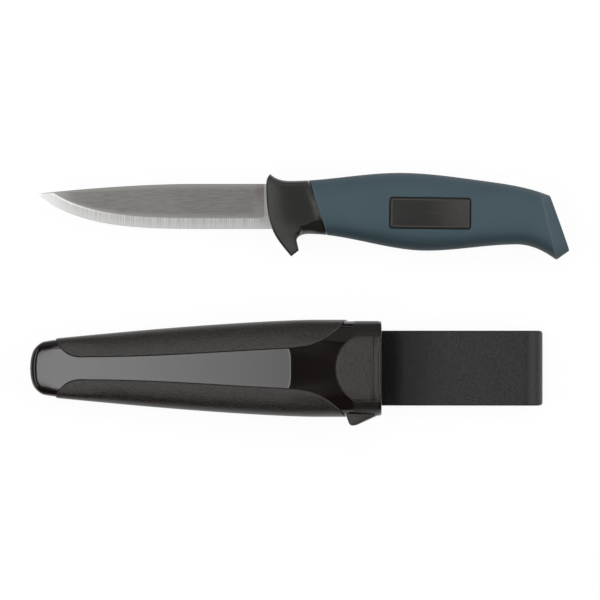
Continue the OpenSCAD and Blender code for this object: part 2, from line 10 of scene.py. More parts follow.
import bmesh
import bpy
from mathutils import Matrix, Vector


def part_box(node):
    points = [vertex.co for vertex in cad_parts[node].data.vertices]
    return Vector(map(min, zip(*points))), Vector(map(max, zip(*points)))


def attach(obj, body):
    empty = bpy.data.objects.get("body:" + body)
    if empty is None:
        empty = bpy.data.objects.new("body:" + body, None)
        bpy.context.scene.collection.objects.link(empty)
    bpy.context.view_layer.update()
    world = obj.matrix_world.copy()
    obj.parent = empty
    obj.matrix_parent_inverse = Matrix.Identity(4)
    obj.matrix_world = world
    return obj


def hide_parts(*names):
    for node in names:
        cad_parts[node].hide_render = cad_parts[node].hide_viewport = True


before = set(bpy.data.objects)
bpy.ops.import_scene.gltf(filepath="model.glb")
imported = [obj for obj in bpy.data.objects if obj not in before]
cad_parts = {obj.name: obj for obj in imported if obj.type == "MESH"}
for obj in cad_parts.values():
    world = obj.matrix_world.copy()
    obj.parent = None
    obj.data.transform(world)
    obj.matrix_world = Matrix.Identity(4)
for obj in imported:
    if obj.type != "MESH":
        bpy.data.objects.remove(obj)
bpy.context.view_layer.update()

MM = 0.001

# Angles in degrees from which an edge stays sharp
STEEL_SHARP = 30
PLASTIC_SHARP = 40
PLATE_SHARP = 50
SKIN_SHARP = 60

# Mirror images of a half section
FLIP_Y = (1, -1, 1)
FLIP_Z = (1, 1, -1)

# Blade, with the lines across its bevel and flat as (share of the way up, polish)
BLADE_LENGTH = 91.0
HALF_BLADE = 9.0
HALF_STEEL = 1.0
BEVEL_WIDTH = 4.25
BELLY_LENGTH = 71.0
BELLY_POWER = 3.4
BELLY_CLOSE = 1.3
BEVEL_LIMIT = 0.9
DROP_LENGTH = 61.0
SPINE_POWER = 1.7
TIP_RISE = 5.2
TIP_BLUNT = 0.3
TIP_POINT = 0.05
SPINE_CORNER = 0.28
BEVEL_SOFT = 0.2
PLUNGE_LENGTH = 3.4
PLUNGE_RISE = 0.8
ROOT_DEPTH = 5.0
SHOULDER_LENGTH = 3.0
TANG_TOP = 5.4
TANG_BOTTOM = -6.2
TANG_END = 83.0
STAIN_LENGTH = 16.0
LINES_FADE = 16.0
# Painted highlight along the top of the bevel: strongest at the tip, fading over this length to what is left
# of it
BEVEL_HIGHLIGHT_FADE = 36.0
BEVEL_HIGHLIGHT_LEFT = 0.1
BORDER_THICK = 0.4
BORDER_SHARE = 0.5
ROOT_POLISH = 10.0
# Painted highlight: the steel is lighter towards the tip, fading out over this length
TIP_HIGHLIGHT_FADE = 17.0
BEVEL_LINES = ((0.86, 0.1), (0.5, 0.5), (0.12, 0.88))
FLAT_LINES = ((0.84, 0.0), (0.5, 0.35), (0.16, 0.8))
# Of these marks, the one for the tip and border carry painted highlights
BLADE_MARKS = ("bevel", "near_guard", "lines", "polish", "border", "tip_highlight")
BLADE_STEPS = 150
SLOPE_STEP = 0.2

# Guard
HORN_X = 1.3
HORN_RISE = 13.0
HORN_SLOPE = -0.9
HORN_LEAN = 0.9
HOOK_SETBACK = 9.7
HOOK_DROP = 20.0
HOOK_LEAN = -0.85
HOOK_HEEL_STEP = Vector((3.1, 2.4))
HOOK_ROOT_STEP = Vector((-4.6, -2.6))
FACE_LOW_X = 2.1
FACE_LOW_LEAN = -0.36
FACE_TOP_X = -0.25
NECK_TOP_X = 9.5
NECK_RISE = 10.2
NECK_BOTTOM_X = 16.5
NECK_DROP = 11.0
PARTING_AT = 17.0
PARTING_SLANT = 7.1
PARTING_GAP = 0.014
PARTING_SEAT = 0.25
PARTING_OVERLAP = 0.008
HOOK_THIN = 2.6
HOOK_THIN_FROM = -3.0
TOP_TURN = 0.85
LOW_TURN = 0.76
HEEL_TURN = 0.16
ROOT_TURN = 0.4
NECK_TURN = 0.75
FRONT_EDGE = 0.035
FRONT_EDGE_SHARE = 0.8
TOP_POWER = 14.0
LOW_POWER = 24.0
GUARD_SIDE = [(0.0, 7.05, 2.3), (0.36, 7.6, 0.3), (0.5, 7.63, -0.1), (0.84, 7.6, 0.2), (1.0, 7.95, 3.8)]
SCOOP_TOP = [(12.9, -8.6, 1.0), (14.1, -7.6, 0.5), (16.4, -6.8, 0.4), (19.6, -5.2, 0.4), (21.3, -4.8, 0.0)]
SCOOP_OVER = 1.6
SCOOP_STEEP = 0.64
SCOOP_STEEP_END = 0.4
SCOOP_SOFT = 0.6
EDGE_POWER = 2.0
GROOVE_REACH = 2.0
GROOVE_DROP = 1.6
GROOVE_FROM = 0.47
GROOVE_LEAD = 0.12
TOP_REACH = 1.4
TOP_DROP = 1.6
GUARD_STEPS = 110
HALF_STEPS = 72

# Grip
HANDLE_LENGTH = 121.0
SWELL_AT = 56.0
SWELL_RISE = 13.45
SWELL_DROP = 17.7
TOP_SWELL_SHIFT = -3.0
LOW_SWELL_SHIFT = 8.0
SIDE_SWELL_SHIFT = 4.0
HALF_SWELL = 11.5
HALF_NECK = 8.3
NECK_FLARE = 0.07
HALF_WAIST = 10.0
HEEL_FLARE = 0.5
HEEL_SIDE_SLOPE = 0.05
WAIST_X = 100.0
WAIST_DROP = 15.2
FLOW_X = 85.4
FLOW_FALL = 3.05
FLOW_SLOPE = -0.135
END_TOP_X = 113.2
END_RISE = 4.3
END_SLOPE = -0.4
HEEL_X = 115.8
HEEL_DROP = 21.4
HEEL_SLOPE = -0.75
END_BOTTOM_DROP = 17.7
FACET_WIDTH = 3.8
END_SHARE = 0.62
END_INSET = 0.4
GRIP_POWER = 2.5
GRIP_WALL = 2.6
GRIP_LIP = 0.3
LIP_STEPS = 6
SLANT_SHARE = 0.24
STEM_TAIL = 20.0
GRIP_STEPS = 130
TURN_STEPS = 7
RIDGE_BEFORE = 0.994
RIDGE_AFTER = 0.09
FACET_KEEP = 0.93
# Painted highlight along the parting lip and the pommel ridge, fading out over this width
EDGE_HIGHLIGHT_WIDTH = 0.55
# Painted shade on the grip where its surface faces down: from this share of a downward normal, over this span
UNDERSIDE_SHADE_FROM = 0.3
UNDERSIDE_SHADE_OVER = 0.45

# Label plates, with the border and the bead as (distance from the rim, height)
PLATE_LENGTH = 32.8
PLATE_HEIGHT = 12.8
PLATE_CORNER = 1.4
LEAST_CORNER = 0.25
LEAST_HALF = 0.05
PLATE_AT = 65.2
PLATE_DROP = 2.8
PLATE_TILT = -0.8
PLATE_SEAT = 9.25
PLATE_INSET = 0.2
POCKET_TOP = 16.0
CORNER_STEPS = 8
SIDE_STEPS = 24
FIELD_STEPS = 9
FIELD_DEPTH = 5.6
FIELD_LIFT = 0.02
RUBBED_FROM = 62.0
RUBBED_OVER = 18.0
BORDER_LINE = [(0.0, -0.6), (0.0, -0.3), (0.1, -0.16), (0.3, -0.12), (0.6, -0.12)]
BEAD_LINE = [(0.66, 0.04), (0.74, 0.18), (0.9, 0.25), (1.06, 0.18), (1.14, 0.04)]

# Sheath
LIE_ANGLE = math.radians(5.6)
SHEATH_LENGTH = 140.8
MOUTH_HALF_W = 18.9
MOUTH_HALF_T = 11.9828
TIP_HALF_W = 11.1
HALF_TIP = 7.0
FRONT_TIP_SLOPE = 0.02
BACK_TIP_SLOPE = 0.05
TIP_ROUND = 4.0
FRONT_ROUND = 2.6
TIP_FLAT = 0.7
FRONT_FLAT = TIP_ROUND * TIP_FLAT / FRONT_ROUND
TIP_WALL = 3.0
TIP_BOW = 2.8
TIP_BOW_LENGTH = 10.0
SHEATH_WALL = 1.6
WIDEST_AT = 27.6
TAPER_LENGTH = 106.2
TAPER_POWER = 1.4
COLLAR_LENGTH = 14.4
THROAT_START = 40.0
SADDLE_FROM = 35.9
SADDLE_HALF_T = 9.48
SADDLE_LEAD = 0.03
SADDLE_FOOT = 35.3
FOOT_HALF_T = 9.525
SADDLE_SLOPE = 0.13
SADDLE_BROW = 17.0
BROW_HALF_T = 11.9
SADDLE_TO = 15.6
SADDLE_BLEND_FROM = 46.0
SADDLE_BLEND_OVER = 36.0
SADDLE_BOW = 1.8
SADDLE_BOW_POWER = 4
SADDLE_FINE = (-3.4, 1.4)
SADDLE_FINE_STEP = 0.2
BACK_FLAT = 50.0
FRONT_POWER = 3.0
FRONT_TIP_POWER = 5.6
FRONT_POWER_FROM = 8.0
FRONT_POWER_OVER = 26.0
BACK_POWER = 8.0
LIP_ROUND = 0.6
SATIN_LENGTH = 11.6
SATIN_BLEND = 1.6
SATIN_LIP = 1.2
SATIN_LIP_BLEND = 0.4
SHELL_STEPS = 150
TIP_STEPS = 14
SHELL_HALF_STEPS = 40

# Thumb tab
TAB_FROM = 13.7
TAB_LENGTH = 11.7
TAB_LEAD = 1.1
TAB_CREST = (1.9, 3.3)
TAB_REACH = 3.9
TAB_SHOULDER = 0.8
TAB_ROOT = 1.2
HALF_TAB = 5.5
TAB_ROUND = 0.5
TAB_ROUND_STEPS = 4
ROUND_PROFILE = 0.5

# Flanks and pad, with their rim as (distance from the border, height)
FLANK_START = 10.4
FLANK_BLEND = 25.0
FLANK_TIP_IN = 0.3
FLANK_TIP_SLOPE = -1.6
FLANK_THROAT_SLOPE = 0.05
FLANK_END_IN = 0.7
FLANK_END_SLOPE = 1.2
PANEL_TIP_HALF = 4.4
PANEL_THROAT_HALF = 7.7
FLANK_BACK = math.radians(-42)
FLANK_BACK_RIM = math.radians(1.2)
FLANK_STEPS = 150
FLANK_AROUND = 46
RIM_LINE = [(0.0, 0.04), (0.06, 0.22), (0.16, 0.34), (0.32, 0.44), (0.55, 0.49)]
FLANK_RAISE = 0.5
PAD_RAISE = 0.6
PAD_HALF_W = 13.2
PAD_LENGTH = 18.0
PAD_CROWN = 7.5
PAD_LIP = 0.6
PAD_GROOVE = 2.9
PAD_GROOVE_HALF = 0.3
PAD_GROOVE_DEPTH = 0.25
PAD_ROWS = 60
PAD_COLUMNS = 40
SKIN_FLOOR = 0.02

# Belt loop and rivets, with a rivet's head and tail as (radius, height)
HALF_STRAP_W = 15.0
HALF_STRAP_T = 1.0
STRAP_ROUND = 0.55
STRAP_CORNER_STEPS = 5
STRAP_ACROSS = 16
STRAP_STEP = 2.0
STRAP_BEND = 6.0
STRAP_GAP = 0.1
STRAP_FRONT_END = 20.0
STRAP_REAR_START = 48.0
STRAP_REAR_LEAVE = 32.0
STRAP_REAR_LAND = 2.0
LOOP_REACH = 63.0
FOLD_STEPS = 60
FOLD_CORNER = 0.9
# Painted shade on the strap next to the sheath's mouth, fading out from this distance over this length
MOUTH_SHADE_FROM = 3.0
MOUTH_SHADE_OVER = 23.0
FRONT_RIVET_X = -12.0
REAR_RIVET_X = -40.0
HALF_RIVET_PITCH = 8.0
RIVET_AROUND = 48
RIVET_HEAD = [(0.0, 0.0), (1.4, 0.05), (2.5, 0.2), (3.2, 0.45), (3.5, 0.78), (3.45, 0.8), (1.6, 0.8)]
RIVET_TAIL = [(1.6, 0.0), (2.7, 0.0), (2.7, 0.3), (2.3, 0.46), (1.2, 0.5), (0.0, 0.5)]
RIVET_WELD = 0.001

# Places of the two frames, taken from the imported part
blade_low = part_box("blade")[0]
grip_low, grip_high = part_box("grip_sleeve")
shell_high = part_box("sheath_shell")[1]
knife_origin = Vector((blade_low.x / MM + BLADE_LENGTH, grip_high.y / MM - SWELL_RISE,
                       (grip_low.z + grip_high.z) / 2 / MM))
sheath_origin = Vector((shell_high.x / MM, shell_high.y / MM - MOUTH_HALF_W,
                        shell_high.z / MM - MOUTH_HALF_T / math.cos(LIE_ANGLE)))


def knife_place(point):
    return (knife_origin + Vector(point)) * MM


def sheath_place(point):
    x, y, z = point
    turned = Vector((x * math.cos(LIE_ANGLE) - z * math.sin(LIE_ANGLE), y,
                     x * math.sin(LIE_ANGLE) + z * math.cos(LIE_ANGLE)))
    return (sheath_origin + turned) * MM


def mix(a, b, share):
    return a + (b - a) * share


def clamp(value):
    return max(0.0, min(1.0, value))


def ease(share):
    t = clamp(share)
    return t * t * (3 - 2 * t)


def full(c, power):
    """Height of a rounded section at a share of its half width: power 2 is an ellipse, more is squarer."""
    return (1 - min(1.0, abs(c)) ** power) ** (1 / power)


def along(stations, t):
    """Value of a smooth curve through stations (place, value, slope), held level past its ends."""
    if t <= stations[0][0]:
        return stations[0][1]
    for a, b in zip(stations, stations[1:]):
        if t <= b[0]:
            span = b[0] - a[0]
            s = (t - a[0]) / span
            ends = a[1] * (1 + 2 * s) * (1 - s) ** 2 + b[1] * s * s * (3 - 2 * s)
            return ends + span * (a[2] * s * (1 - s) ** 2 - b[2] * s * s * (1 - s))
    return stations[-1][1]


def evenly(a, b, steps):
    """Values or points from a to b in even steps."""
    return [mix(a, b, i / steps) for i in range(steps + 1)]


def rounds(steps):
    """Half-circle steps from 1 to -1."""
    return [math.cos(angle) for angle in evenly(0.0, math.pi, steps)]


def quarter_turn(steps):
    """Cosine and sine at even steps of a quarter turn."""
    return [(math.cos(angle), math.sin(angle)) for angle in evenly(0.0, math.pi / 2, steps)]


def both_sides(half, flip):
    """Whole ring from a half ring and its mirror image."""
    mirrored = [tuple(v * f for v, f in zip(point, flip)) for point in half[-2:0:-1]]
    return half + mirrored


def bend(a, corner, b, steps):
    """Points of a soft turn from a to b round a corner."""
    return [mix(mix(a, corner, s), mix(corner, b, s), s) for s in evenly(0.0, 1.0, steps)]


def bend_rings(ring_a, ring_corner, ring_b, steps):
    """Rings of a soft turn between two rings round a third one."""
    columns = [bend(Vector(a), Vector(c), Vector(b), steps) for a, c, b in zip(ring_a, ring_corner, ring_b)]
    return [[tuple(column[i]) for column in columns] for i in range(steps + 1)]


def band(count, around):
    """Faces round a number of rings that each have the same number of points."""
    faces = []
    for r in range(count - 1):
        for i in range(around):
            j = (i + 1) % around
            faces.append((r * around + i, (r + 1) * around + i, (r + 1) * around + j, r * around + j))
    return faces


def loft(rings):
    """Points and faces of a closed solid through rings, its two ends closed by strips across."""
    around = len(rings[0])
    points = [point for ring in rings for point in ring]
    faces = band(len(rings), around)
    half = around // 2
    for base in (0, (len(rings) - 1) * around):
        faces.append((base, base + 1, base + around - 1))
        faces.append((base + half - 1, base + half, base + half + 1))
        for i in range(1, half - 1):
            faces.append((base + i, base + i + 1, base + around - i - 1, base + around - i))
    return points, faces


def stack(outlines):
    """Points and faces of a closed solid through outlines, its two ends closed by one face each."""
    around = len(outlines[0])
    points = [point for outline in outlines for point in outline]
    ends = [tuple(range(around)), tuple(range(len(points) - around, len(points)))]
    return points, ends + band(len(outlines), around)


def slab(upper, lower):
    """Points and faces of a closed solid between two grids of the same size."""
    rows = len(upper)
    columns = len(upper[0])
    count = rows * columns
    points = [p for row in upper for p in row] + [p for row in lower for p in row]
    faces = []
    for r in range(rows - 1):
        for c in range(columns - 1):
            a = r * columns + c
            faces.append((a, a + 1, a + columns + 1, a + columns))
            faces.append((count + a, count + a + columns, count + a + columns + 1, count + a + 1))
    rim = list(range(columns))
    rim += [r * columns + columns - 1 for r in range(1, rows)]
    rim += [(rows - 1) * columns + c for c in range(columns - 2, -1, -1)]
    rim += [r * columns for r in range(rows - 2, 0, -1)]
    for a, b in zip(rim, rim[1:] + rim[:1]):
        faces.append((a, count + a, count + b, b))
    return points, faces


def rework(mesh, change):
    """Makes a change, given as a function of the mesh in its editable form."""
    editable = bmesh.new()
    editable.from_mesh(mesh)
    change(editable)
    editable.to_mesh(mesh)
    editable.free()


def face_out(editable):
    bmesh.ops.recalc_face_normals(editable, faces=editable.faces)


def new_object(name, data):
    made = bpy.data.objects.new(name, data)
    bpy.context.scene.collection.objects.link(made)
    return made


def new_mesh(name, points, faces, place):
    """Mesh object from points in millimetres, with its normals facing out."""
    mesh = bpy.data.meshes.new(name)
    mesh.from_pydata([place(p) for p in points], [], faces)
    rework(mesh, face_out)
    return new_object(name, mesh)


def mark(piece, name, shares):
    """Gives each point of the piece a share that its material reads by name."""
    piece.data.attributes.new(name, "FLOAT", "POINT").data.foreach_set("value", shares)


def stand_for(piece, sharp_degrees, materials, slot_name, body, *nodes):
    """The piece is shaded, takes its materials, moves with a body and is shown in place of CAD nodes."""
    mesh = piece.data
    mesh.polygons.foreach_set("use_smooth", [True] * len(mesh.polygons))
    mesh.set_sharp_from_angle(angle=math.radians(sharp_degrees))
    for material in materials:
        mesh.materials.append(material)
    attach(piece, body)
    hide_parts(*nodes)


# Finishes

# Sockets of a colour mix, and the ranges over which a noise is spread
MIX_INPUTS = (0, 6, 7)
MIX_RESULT = 2
SOFT_RANGE = (0.3, 0.7)
CRISP_RANGE = (0.35, 0.65)


class Finish:
    """A material with its shader and short ways to add nodes to it. Feature sizes are in millimetres."""

    def __init__(self, name, roughness, metallic=0.0, specular=0.5):
        self.material = bpy.data.materials.new(name)
        self.material.use_nodes = True
        self.tree = self.material.node_tree
        self.shader = self.tree.nodes["Principled BSDF"]
        self.normal = None
        self.feed(self.shader, {"Roughness": roughness, "Metallic": metallic, "Specular IOR Level": specular})

    def feed(self, node, inputs):
        """Links an input of a node where another node's output is given for it, and sets it otherwise."""
        for key, value in inputs.items():
            if isinstance(value, bpy.types.NodeSocket):
                self.tree.links.new(value, node.inputs[key])
            else:
                node.inputs[key].default_value = value

    def add(self, kind, output, inputs, **settings):
        """Adds a node with its settings and inputs and returns one of its outputs."""
        node = self.tree.nodes.new(kind)
        for name, value in settings.items():
            setattr(node, name, value)
        self.feed(node, inputs)
        return node.outputs[output]

    def place(self, stretch=(1, 1, 1), uv_map=None):
        """Object coordinates, or those of a UV map, stretched along each axis."""
        if uv_map:
            source = self.add("ShaderNodeUVMap", "UV", {}, uv_map=uv_map)
        else:
            source = self.add("ShaderNodeTexCoord", "Object", {})
        scale = [1 / s for s in stretch]
        return self.add("ShaderNodeMapping", "Vector", {"Vector": source, "Scale": scale})

    def noise(self, size, stretch=(1, 1, 1), detail=3.0, uv_map=None):
        inputs = {"Vector": self.place(stretch, uv_map), "Scale": 1 / (size * MM), "Detail": detail}
        return self.add("ShaderNodeTexNoise", "Fac", inputs)

    def cells(self, size):
        inputs = {"Vector": self.place(), "Scale": 1 / (size * MM)}
        return self.add("ShaderNodeTexVoronoi", "Distance", inputs, feature="SMOOTH_F1")

    def attribute(self, name):
        return self.add("ShaderNodeAttribute", "Fac", {}, attribute_name=name)

    def spread(self, factor, low=0.0, high=1.0, to_low=0.0, to_high=1.0):
        inputs = {"Value": factor, "From Min": low, "From Max": high, "To Min": to_low, "To Max": to_high}
        return self.add("ShaderNodeMapRange", "Result", inputs)

    def times(self, a, b):
        return self.add("ShaderNodeMath", "Value", {0: a, 1: b}, operation="MULTIPLY")

    def colours(self, factor, first, second):
        """Colour between two, each given as a colour or as another node's output."""
        pair = [(*c, 1.0) if isinstance(c, tuple) else c for c in (first, second)]
        inputs = dict(zip(MIX_INPUTS, (factor, *pair)))
        return self.add("ShaderNodeMix", MIX_RESULT, inputs, data_type="RGBA")

    def surface(self, colour, roughness):
        self.feed(self.shader, {"Base Color": colour, "Roughness": roughness})

    def bump(self, height, strength, depth):
        """Adds relief of a depth in millimetres on top of the relief set before."""
        inputs = {"Height": height, "Strength": strength, "Distance": depth * MM}
        if self.normal:
            inputs["Normal"] = self.normal
        self.normal = self.add("ShaderNodeBump", "Normal", inputs)
        self.feed(self.shader, {"Normal": self.normal})

    def texture(self, colour, noise, smooth, rough, strength, depth):
        """Colour, with a roughness between two limits and a relief that both follow a noise."""
        self.surface(colour, self.spread(noise, *SOFT_RANGE, smooth, rough))
        self.bump(noise, strength, depth)


def blade_steel():
    finish = Finish("blade_steel", 0.35, metallic=1.0)
    brushed = finish.noise(0.22, stretch=(24, 1, 1), detail=2.0)
    cloudy = finish.noise(9.0, stretch=(2, 1, 1))
    ground = finish.noise(0.4, stretch=(1, 40, 1), detail=2.0, uv_map="Finish")
    spots = finish.noise(4.0, stretch=(1, 2, 1), detail=2.0)
    near_guard = finish.attribute("near_guard")
    tip_highlight = finish.attribute("tip_highlight")
    polish = finish.attribute("polish")
    stained = finish.times(near_guard, finish.spread(spots, low=0.42, high=0.62))
    root = finish.spread(near_guard, low=0.98, high=0.992, to_high=0.65)
    flat = finish.colours(finish.spread(brushed, *SOFT_RANGE), (0.181, 0.175, 0.165), (0.285, 0.276, 0.262))
    flat = finish.colours(finish.spread(cloudy, *CRISP_RANGE, to_high=0.4), flat, (0.29, 0.283, 0.27))
    flat = finish.colours(finish.spread(stained, to_high=0.75), flat, (0.22, 0.176, 0.17))
    flat = finish.colours(finish.spread(polish, to_high=0.8), flat, (0.38, 0.37, 0.355))
    # Painted highlight: lighter flat towards the tip
    flat = finish.colours(tip_highlight, flat, (0.5, 0.492, 0.48))
    flat = finish.colours(root, flat, (0.6, 0.575, 0.555))
    bevel = finish.colours(finish.spread(ground, *SOFT_RANGE), (0.4, 0.4, 0.392), (0.72, 0.72, 0.71))
    bevel = finish.colours(finish.spread(polish, to_high=0.6), bevel, (0.73, 0.73, 0.72))
    # Painted highlight: lighter bevel towards the tip
    bevel = finish.colours(tip_highlight, bevel, (0.93, 0.93, 0.925))
    steel = finish.colours(finish.attribute("bevel"), flat, bevel)
    # Painted highlight: a light line along the top of the bevel
    steel = finish.colours(finish.attribute("border"), steel, (0.97, 0.97, 0.965))
    finish.surface(steel, finish.spread(tip_highlight, to_low=0.43, to_high=0.5))
    finish.bump(brushed, strength=0.06, depth=0.004)
    finish.bump(finish.times(ground, finish.attribute("lines")), strength=0.4, depth=0.01)
    return finish.material


def guard_plastic():
    finish = Finish("guard_plastic", 0.38)
    fine = finish.noise(0.35, detail=2.0)
    colour = finish.colours(finish.noise(7.0), (0.0115, 0.011, 0.0092), (0.0175, 0.0168, 0.014))
    finish.texture(colour, fine, smooth=0.26, rough=0.37, strength=0.5, depth=0.02)
    return finish.material


def soft_grip():
    finish = Finish("soft_grip", 0.62, specular=0.4)
    fine = finish.noise(0.28, detail=2.0)
    colour = finish.colours(finish.noise(12.0), (0.052, 0.09, 0.108), (0.065, 0.107, 0.128))
    # Painted shade: darker where the grip's surface faces down
    colour = finish.colours(finish.attribute("underside_shade"), colour, (0.037, 0.064, 0.078))
    # Painted highlight: lighter along the lip at the parting line and the ridge round the pommel
    colour = finish.colours(finish.attribute("edges"), colour, (0.1, 0.14, 0.16))
    finish.texture(colour, fine, smooth=0.56, rough=0.7, strength=0.3, depth=0.025)
    return finish.material


def plate_border():
    finish = Finish("plate_border", 0.5)
    fine = finish.noise(0.5, detail=2.0)
    colour = finish.colours(fine, (0.004, 0.004, 0.004), (0.008, 0.008, 0.008))
    finish.texture(colour, fine, smooth=0.45, rough=0.6, strength=0.2, depth=0.02)
    return finish.material


def plate_bead():
    finish = Finish("plate_bead", 0.38)
    fine = finish.noise(0.5, detail=2.0)
    colour = finish.colours(fine, (0.055, 0.05, 0.042), (0.075, 0.068, 0.057))
    finish.texture(colour, fine, smooth=0.32, rough=0.45, strength=0.15, depth=0.02)
    return finish.material


def plate_field():
    finish = Finish("plate_field", 0.5)
    grain = finish.noise(0.45)
    spotted = finish.spread(grain, *CRISP_RANGE)
    new = finish.colours(spotted, (0.003, 0.0024, 0.0018), (0.012, 0.01, 0.0083))
    rubbed = finish.colours(spotted, (0.027, 0.024, 0.0215), (0.055, 0.05, 0.046))
    colour = finish.colours(finish.attribute("rubbed"), new, rubbed)
    finish.texture(colour, grain, smooth=0.42, rough=0.62, strength=0.5, depth=0.05)
    return finish.material


def gloss_shell():
    finish = Finish("gloss_shell", 0.09)
    smear = finish.noise(6.0, stretch=(8, 1, 1))
    fine = finish.noise(0.4, stretch=(3, 1, 1), detail=2.0)
    colour = finish.colours(smear, (0.0045, 0.0018, 0.001), (0.0065, 0.0028, 0.0016))
    finish.surface(colour, finish.spread(finish.attribute("collar"), to_low=0.09, to_high=0.42))
    finish.bump(fine, strength=0.04, depth=0.01)
    return finish.material


def grained_plastic():
    finish = Finish("grained_plastic", 0.5, specular=0.58)
    grain = finish.noise(0.52, detail=2.0)
    spotted = finish.spread(grain, *CRISP_RANGE)
    colour = finish.colours(spotted, (0.0018, 0.0012, 0.0009), (0.0295, 0.0212, 0.0168))
    finish.bump(finish.cells(0.62), strength=0.8, depth=0.1)
    finish.texture(colour, grain, smooth=0.31, rough=0.47, strength=0.6, depth=0.1)
    return finish.material


def strap_plastic():
    finish = Finish("strap", 0.5, specular=0.34)
    grain = finish.noise(0.7, detail=4.0)
    worn = finish.attribute("worn")
    spotted = finish.spread(grain, *CRISP_RANGE)
    # Painted shade: new is the strap's colour shaded next to the sheath's mouth, rubbed its colour in the
    # open, and the worn share runs between them
    new = finish.colours(spotted, (0.0016, 0.0012, 0.001), (0.0075, 0.0063, 0.006))
    rubbed = finish.colours(spotted, (0.0152, 0.0136, 0.0139), (0.0335, 0.0305, 0.0312))
    smooth = finish.spread(worn, to_low=1.1, to_high=1.0)
    roughness = finish.times(finish.spread(grain, *SOFT_RANGE, to_low=0.34, to_high=0.5), smooth)
    finish.surface(finish.colours(worn, new, rubbed), roughness)
    finish.bump(finish.cells(0.7), strength=0.5, depth=0.1)
    finish.bump(grain, strength=0.7, depth=0.12)
    return finish.material


def rivet_metal():
    finish = Finish("rivet_metal", 0.35, metallic=1.0)
    worn = finish.noise(0.8, detail=4.0)
    colour = finish.colours(worn, (0.1, 0.1, 0.105), (0.2, 0.2, 0.205))
    finish.texture(colour, worn, smooth=0.28, rough=0.45, strength=0.1, depth=0.02)
    return finish.material


# Blade

def spine_y(back):
    return HALF_BLADE - (HALF_BLADE - TIP_RISE) * max(0.0, 1 - back / DROP_LENGTH) ** SPINE_POWER


def edge_y(back):
    s = max(0.0, 1 - back / BELLY_LENGTH)
    return -HALF_BLADE + (HALF_BLADE + TIP_RISE) * (1 - (1 - s ** BELLY_POWER) ** (1 / BELLY_CLOSE))


def bevel_tall(back):
    """Height of the bevel at a distance behind the tip, more where the grind runs out at the guard."""
    slope = (edge_y(back) - edge_y(back + SLOPE_STEP)) / SLOPE_STEP
    plunge = PLUNGE_RISE * ease(1 - (BLADE_LENGTH - back) / PLUNGE_LENGTH)
    return BEVEL_WIDTH * math.sqrt(1 + slope * slope) + plunge


def blade_section(back):
    """Half section from spine to edge: height, half thickness, shares of bevel, polish and border, the border
    share being a painted highlight along the top of the bevel.
    """
    at = max(back, TIP_BLUNT)
    top = spine_y(at)
    low = edge_y(at)
    tall = bevel_tall(at)
    line = min(low + tall, mix(low, top, BEVEL_LIMIT))
    soft = BEVEL_SOFT * (line - low) / BEVEL_WIDTH
    corner = SPINE_CORNER * clamp((top - line) / BEVEL_WIDTH)

    def thick(y):
        return max(TIP_POINT, HALF_STEEL * min(1.0, (y - low) / tall))

    def row(y, bevel, polish, border=0.0):
        return (y, thick(y), bevel, polish, border)

    rim = max(TIP_POINT, thick(top) - corner)
    border = mix(thick(line + soft), thick(line - soft), BORDER_THICK)
    near_root = ease(1 - (BLADE_LENGTH - back) / ROOT_POLISH)
    rows = [(top, 0.0, 0.0, 1.0, 0.0), (top, rim, 0.0, 1.0, 0.0), (top - corner, thick(top), 0.0, 1.0, 0.0)]
    for share, polish in FLAT_LINES:
        rows.append(row(mix(line + soft, top - corner, share), 0.0, polish * near_root))
    rows.append(row(line + soft, 0.0, 1.0))
    rows.append((line, border, BORDER_SHARE, BORDER_SHARE, BORDER_SHARE))
    rows.append(row(line - soft, 1.0, 0.0, 1.0))
    for share, polish in BEVEL_LINES:
        rows.append(row(mix(low, line - soft, share), 1.0, polish))
    rows.append((low, 0.0, 1.0, 0.0, 0.0))
    return rows


def tang_section(count):
    """Half section of the tang with as many points as the blade's."""
    plain = (0.0, 0.0, 0.0)
    flat = [(y, HALF_STEEL, *plain) for y in evenly(TANG_TOP, TANG_BOTTOM, count - 3)]
    return [(TANG_TOP, 0.0, *plain)] + flat + [(TANG_BOTTOM, 0.0, *plain)]


def blade():
    backs = [BLADE_LENGTH * (1 - cosine) for cosine, sine in quarter_turn(BLADE_STEPS)]
    backs.append(BLADE_LENGTH + ROOT_DEPTH)
    sections = [(back - BLADE_LENGTH, blade_section(back)) for back in backs]
    count = len(sections[0][1])
    sections.append((ROOT_DEPTH + SHOULDER_LENGTH, tang_section(count)))
    sections.append((TANG_END, tang_section(count)))
    rings = []
    marks = []
    run = 0.0
    before = None
    for x, section in sections:
        low = section[-1][0]
        if before:
            run += math.hypot(x - before[0], low - before[1])
        before = (x, low)
        rings.append(both_sides([(x, y, z) for y, z, *shares in section], FLIP_Z))
        fade = ease((x + BLADE_LENGTH) / LINES_FADE)
        root = ease(1 + x / STAIN_LENGTH)
        # Painted highlight along the top of the bevel, strongest near the tip
        bevel_highlight = mix(1.0, BEVEL_HIGHLIGHT_LEFT, ease((x + BLADE_LENGTH) / BEVEL_HIGHLIGHT_FADE))
        # Painted highlight: lighter steel towards the tip
        tip = 1 - ease((x + BLADE_LENGTH) / TIP_HIGHLIGHT_FADE)
        half = []
        for y, z, bevel, polish, border in section:
            half.append((run * MM, (y - low) * MM, bevel, root, bevel * fade, polish, border * bevel_highlight, tip))
        marks += both_sides(half, (1,) * len(half[0]))
    piece = new_mesh("blade_look", *loft(rings), knife_place)
    along_edge, over_edge, *columns = zip(*marks)
    for name, shares in zip(BLADE_MARKS, columns):
        mark(piece, name, shares)
    uv_map = piece.data.uv_layers.new(name="Finish")
    for loop in piece.data.loops:
        uv_map.data[loop.index].uv = (along_edge[loop.vertex_index], over_edge[loop.vertex_index])
    stand_for(piece, STEEL_SHARP, [blade_steel()], "blade_steel", "knife", "blade")


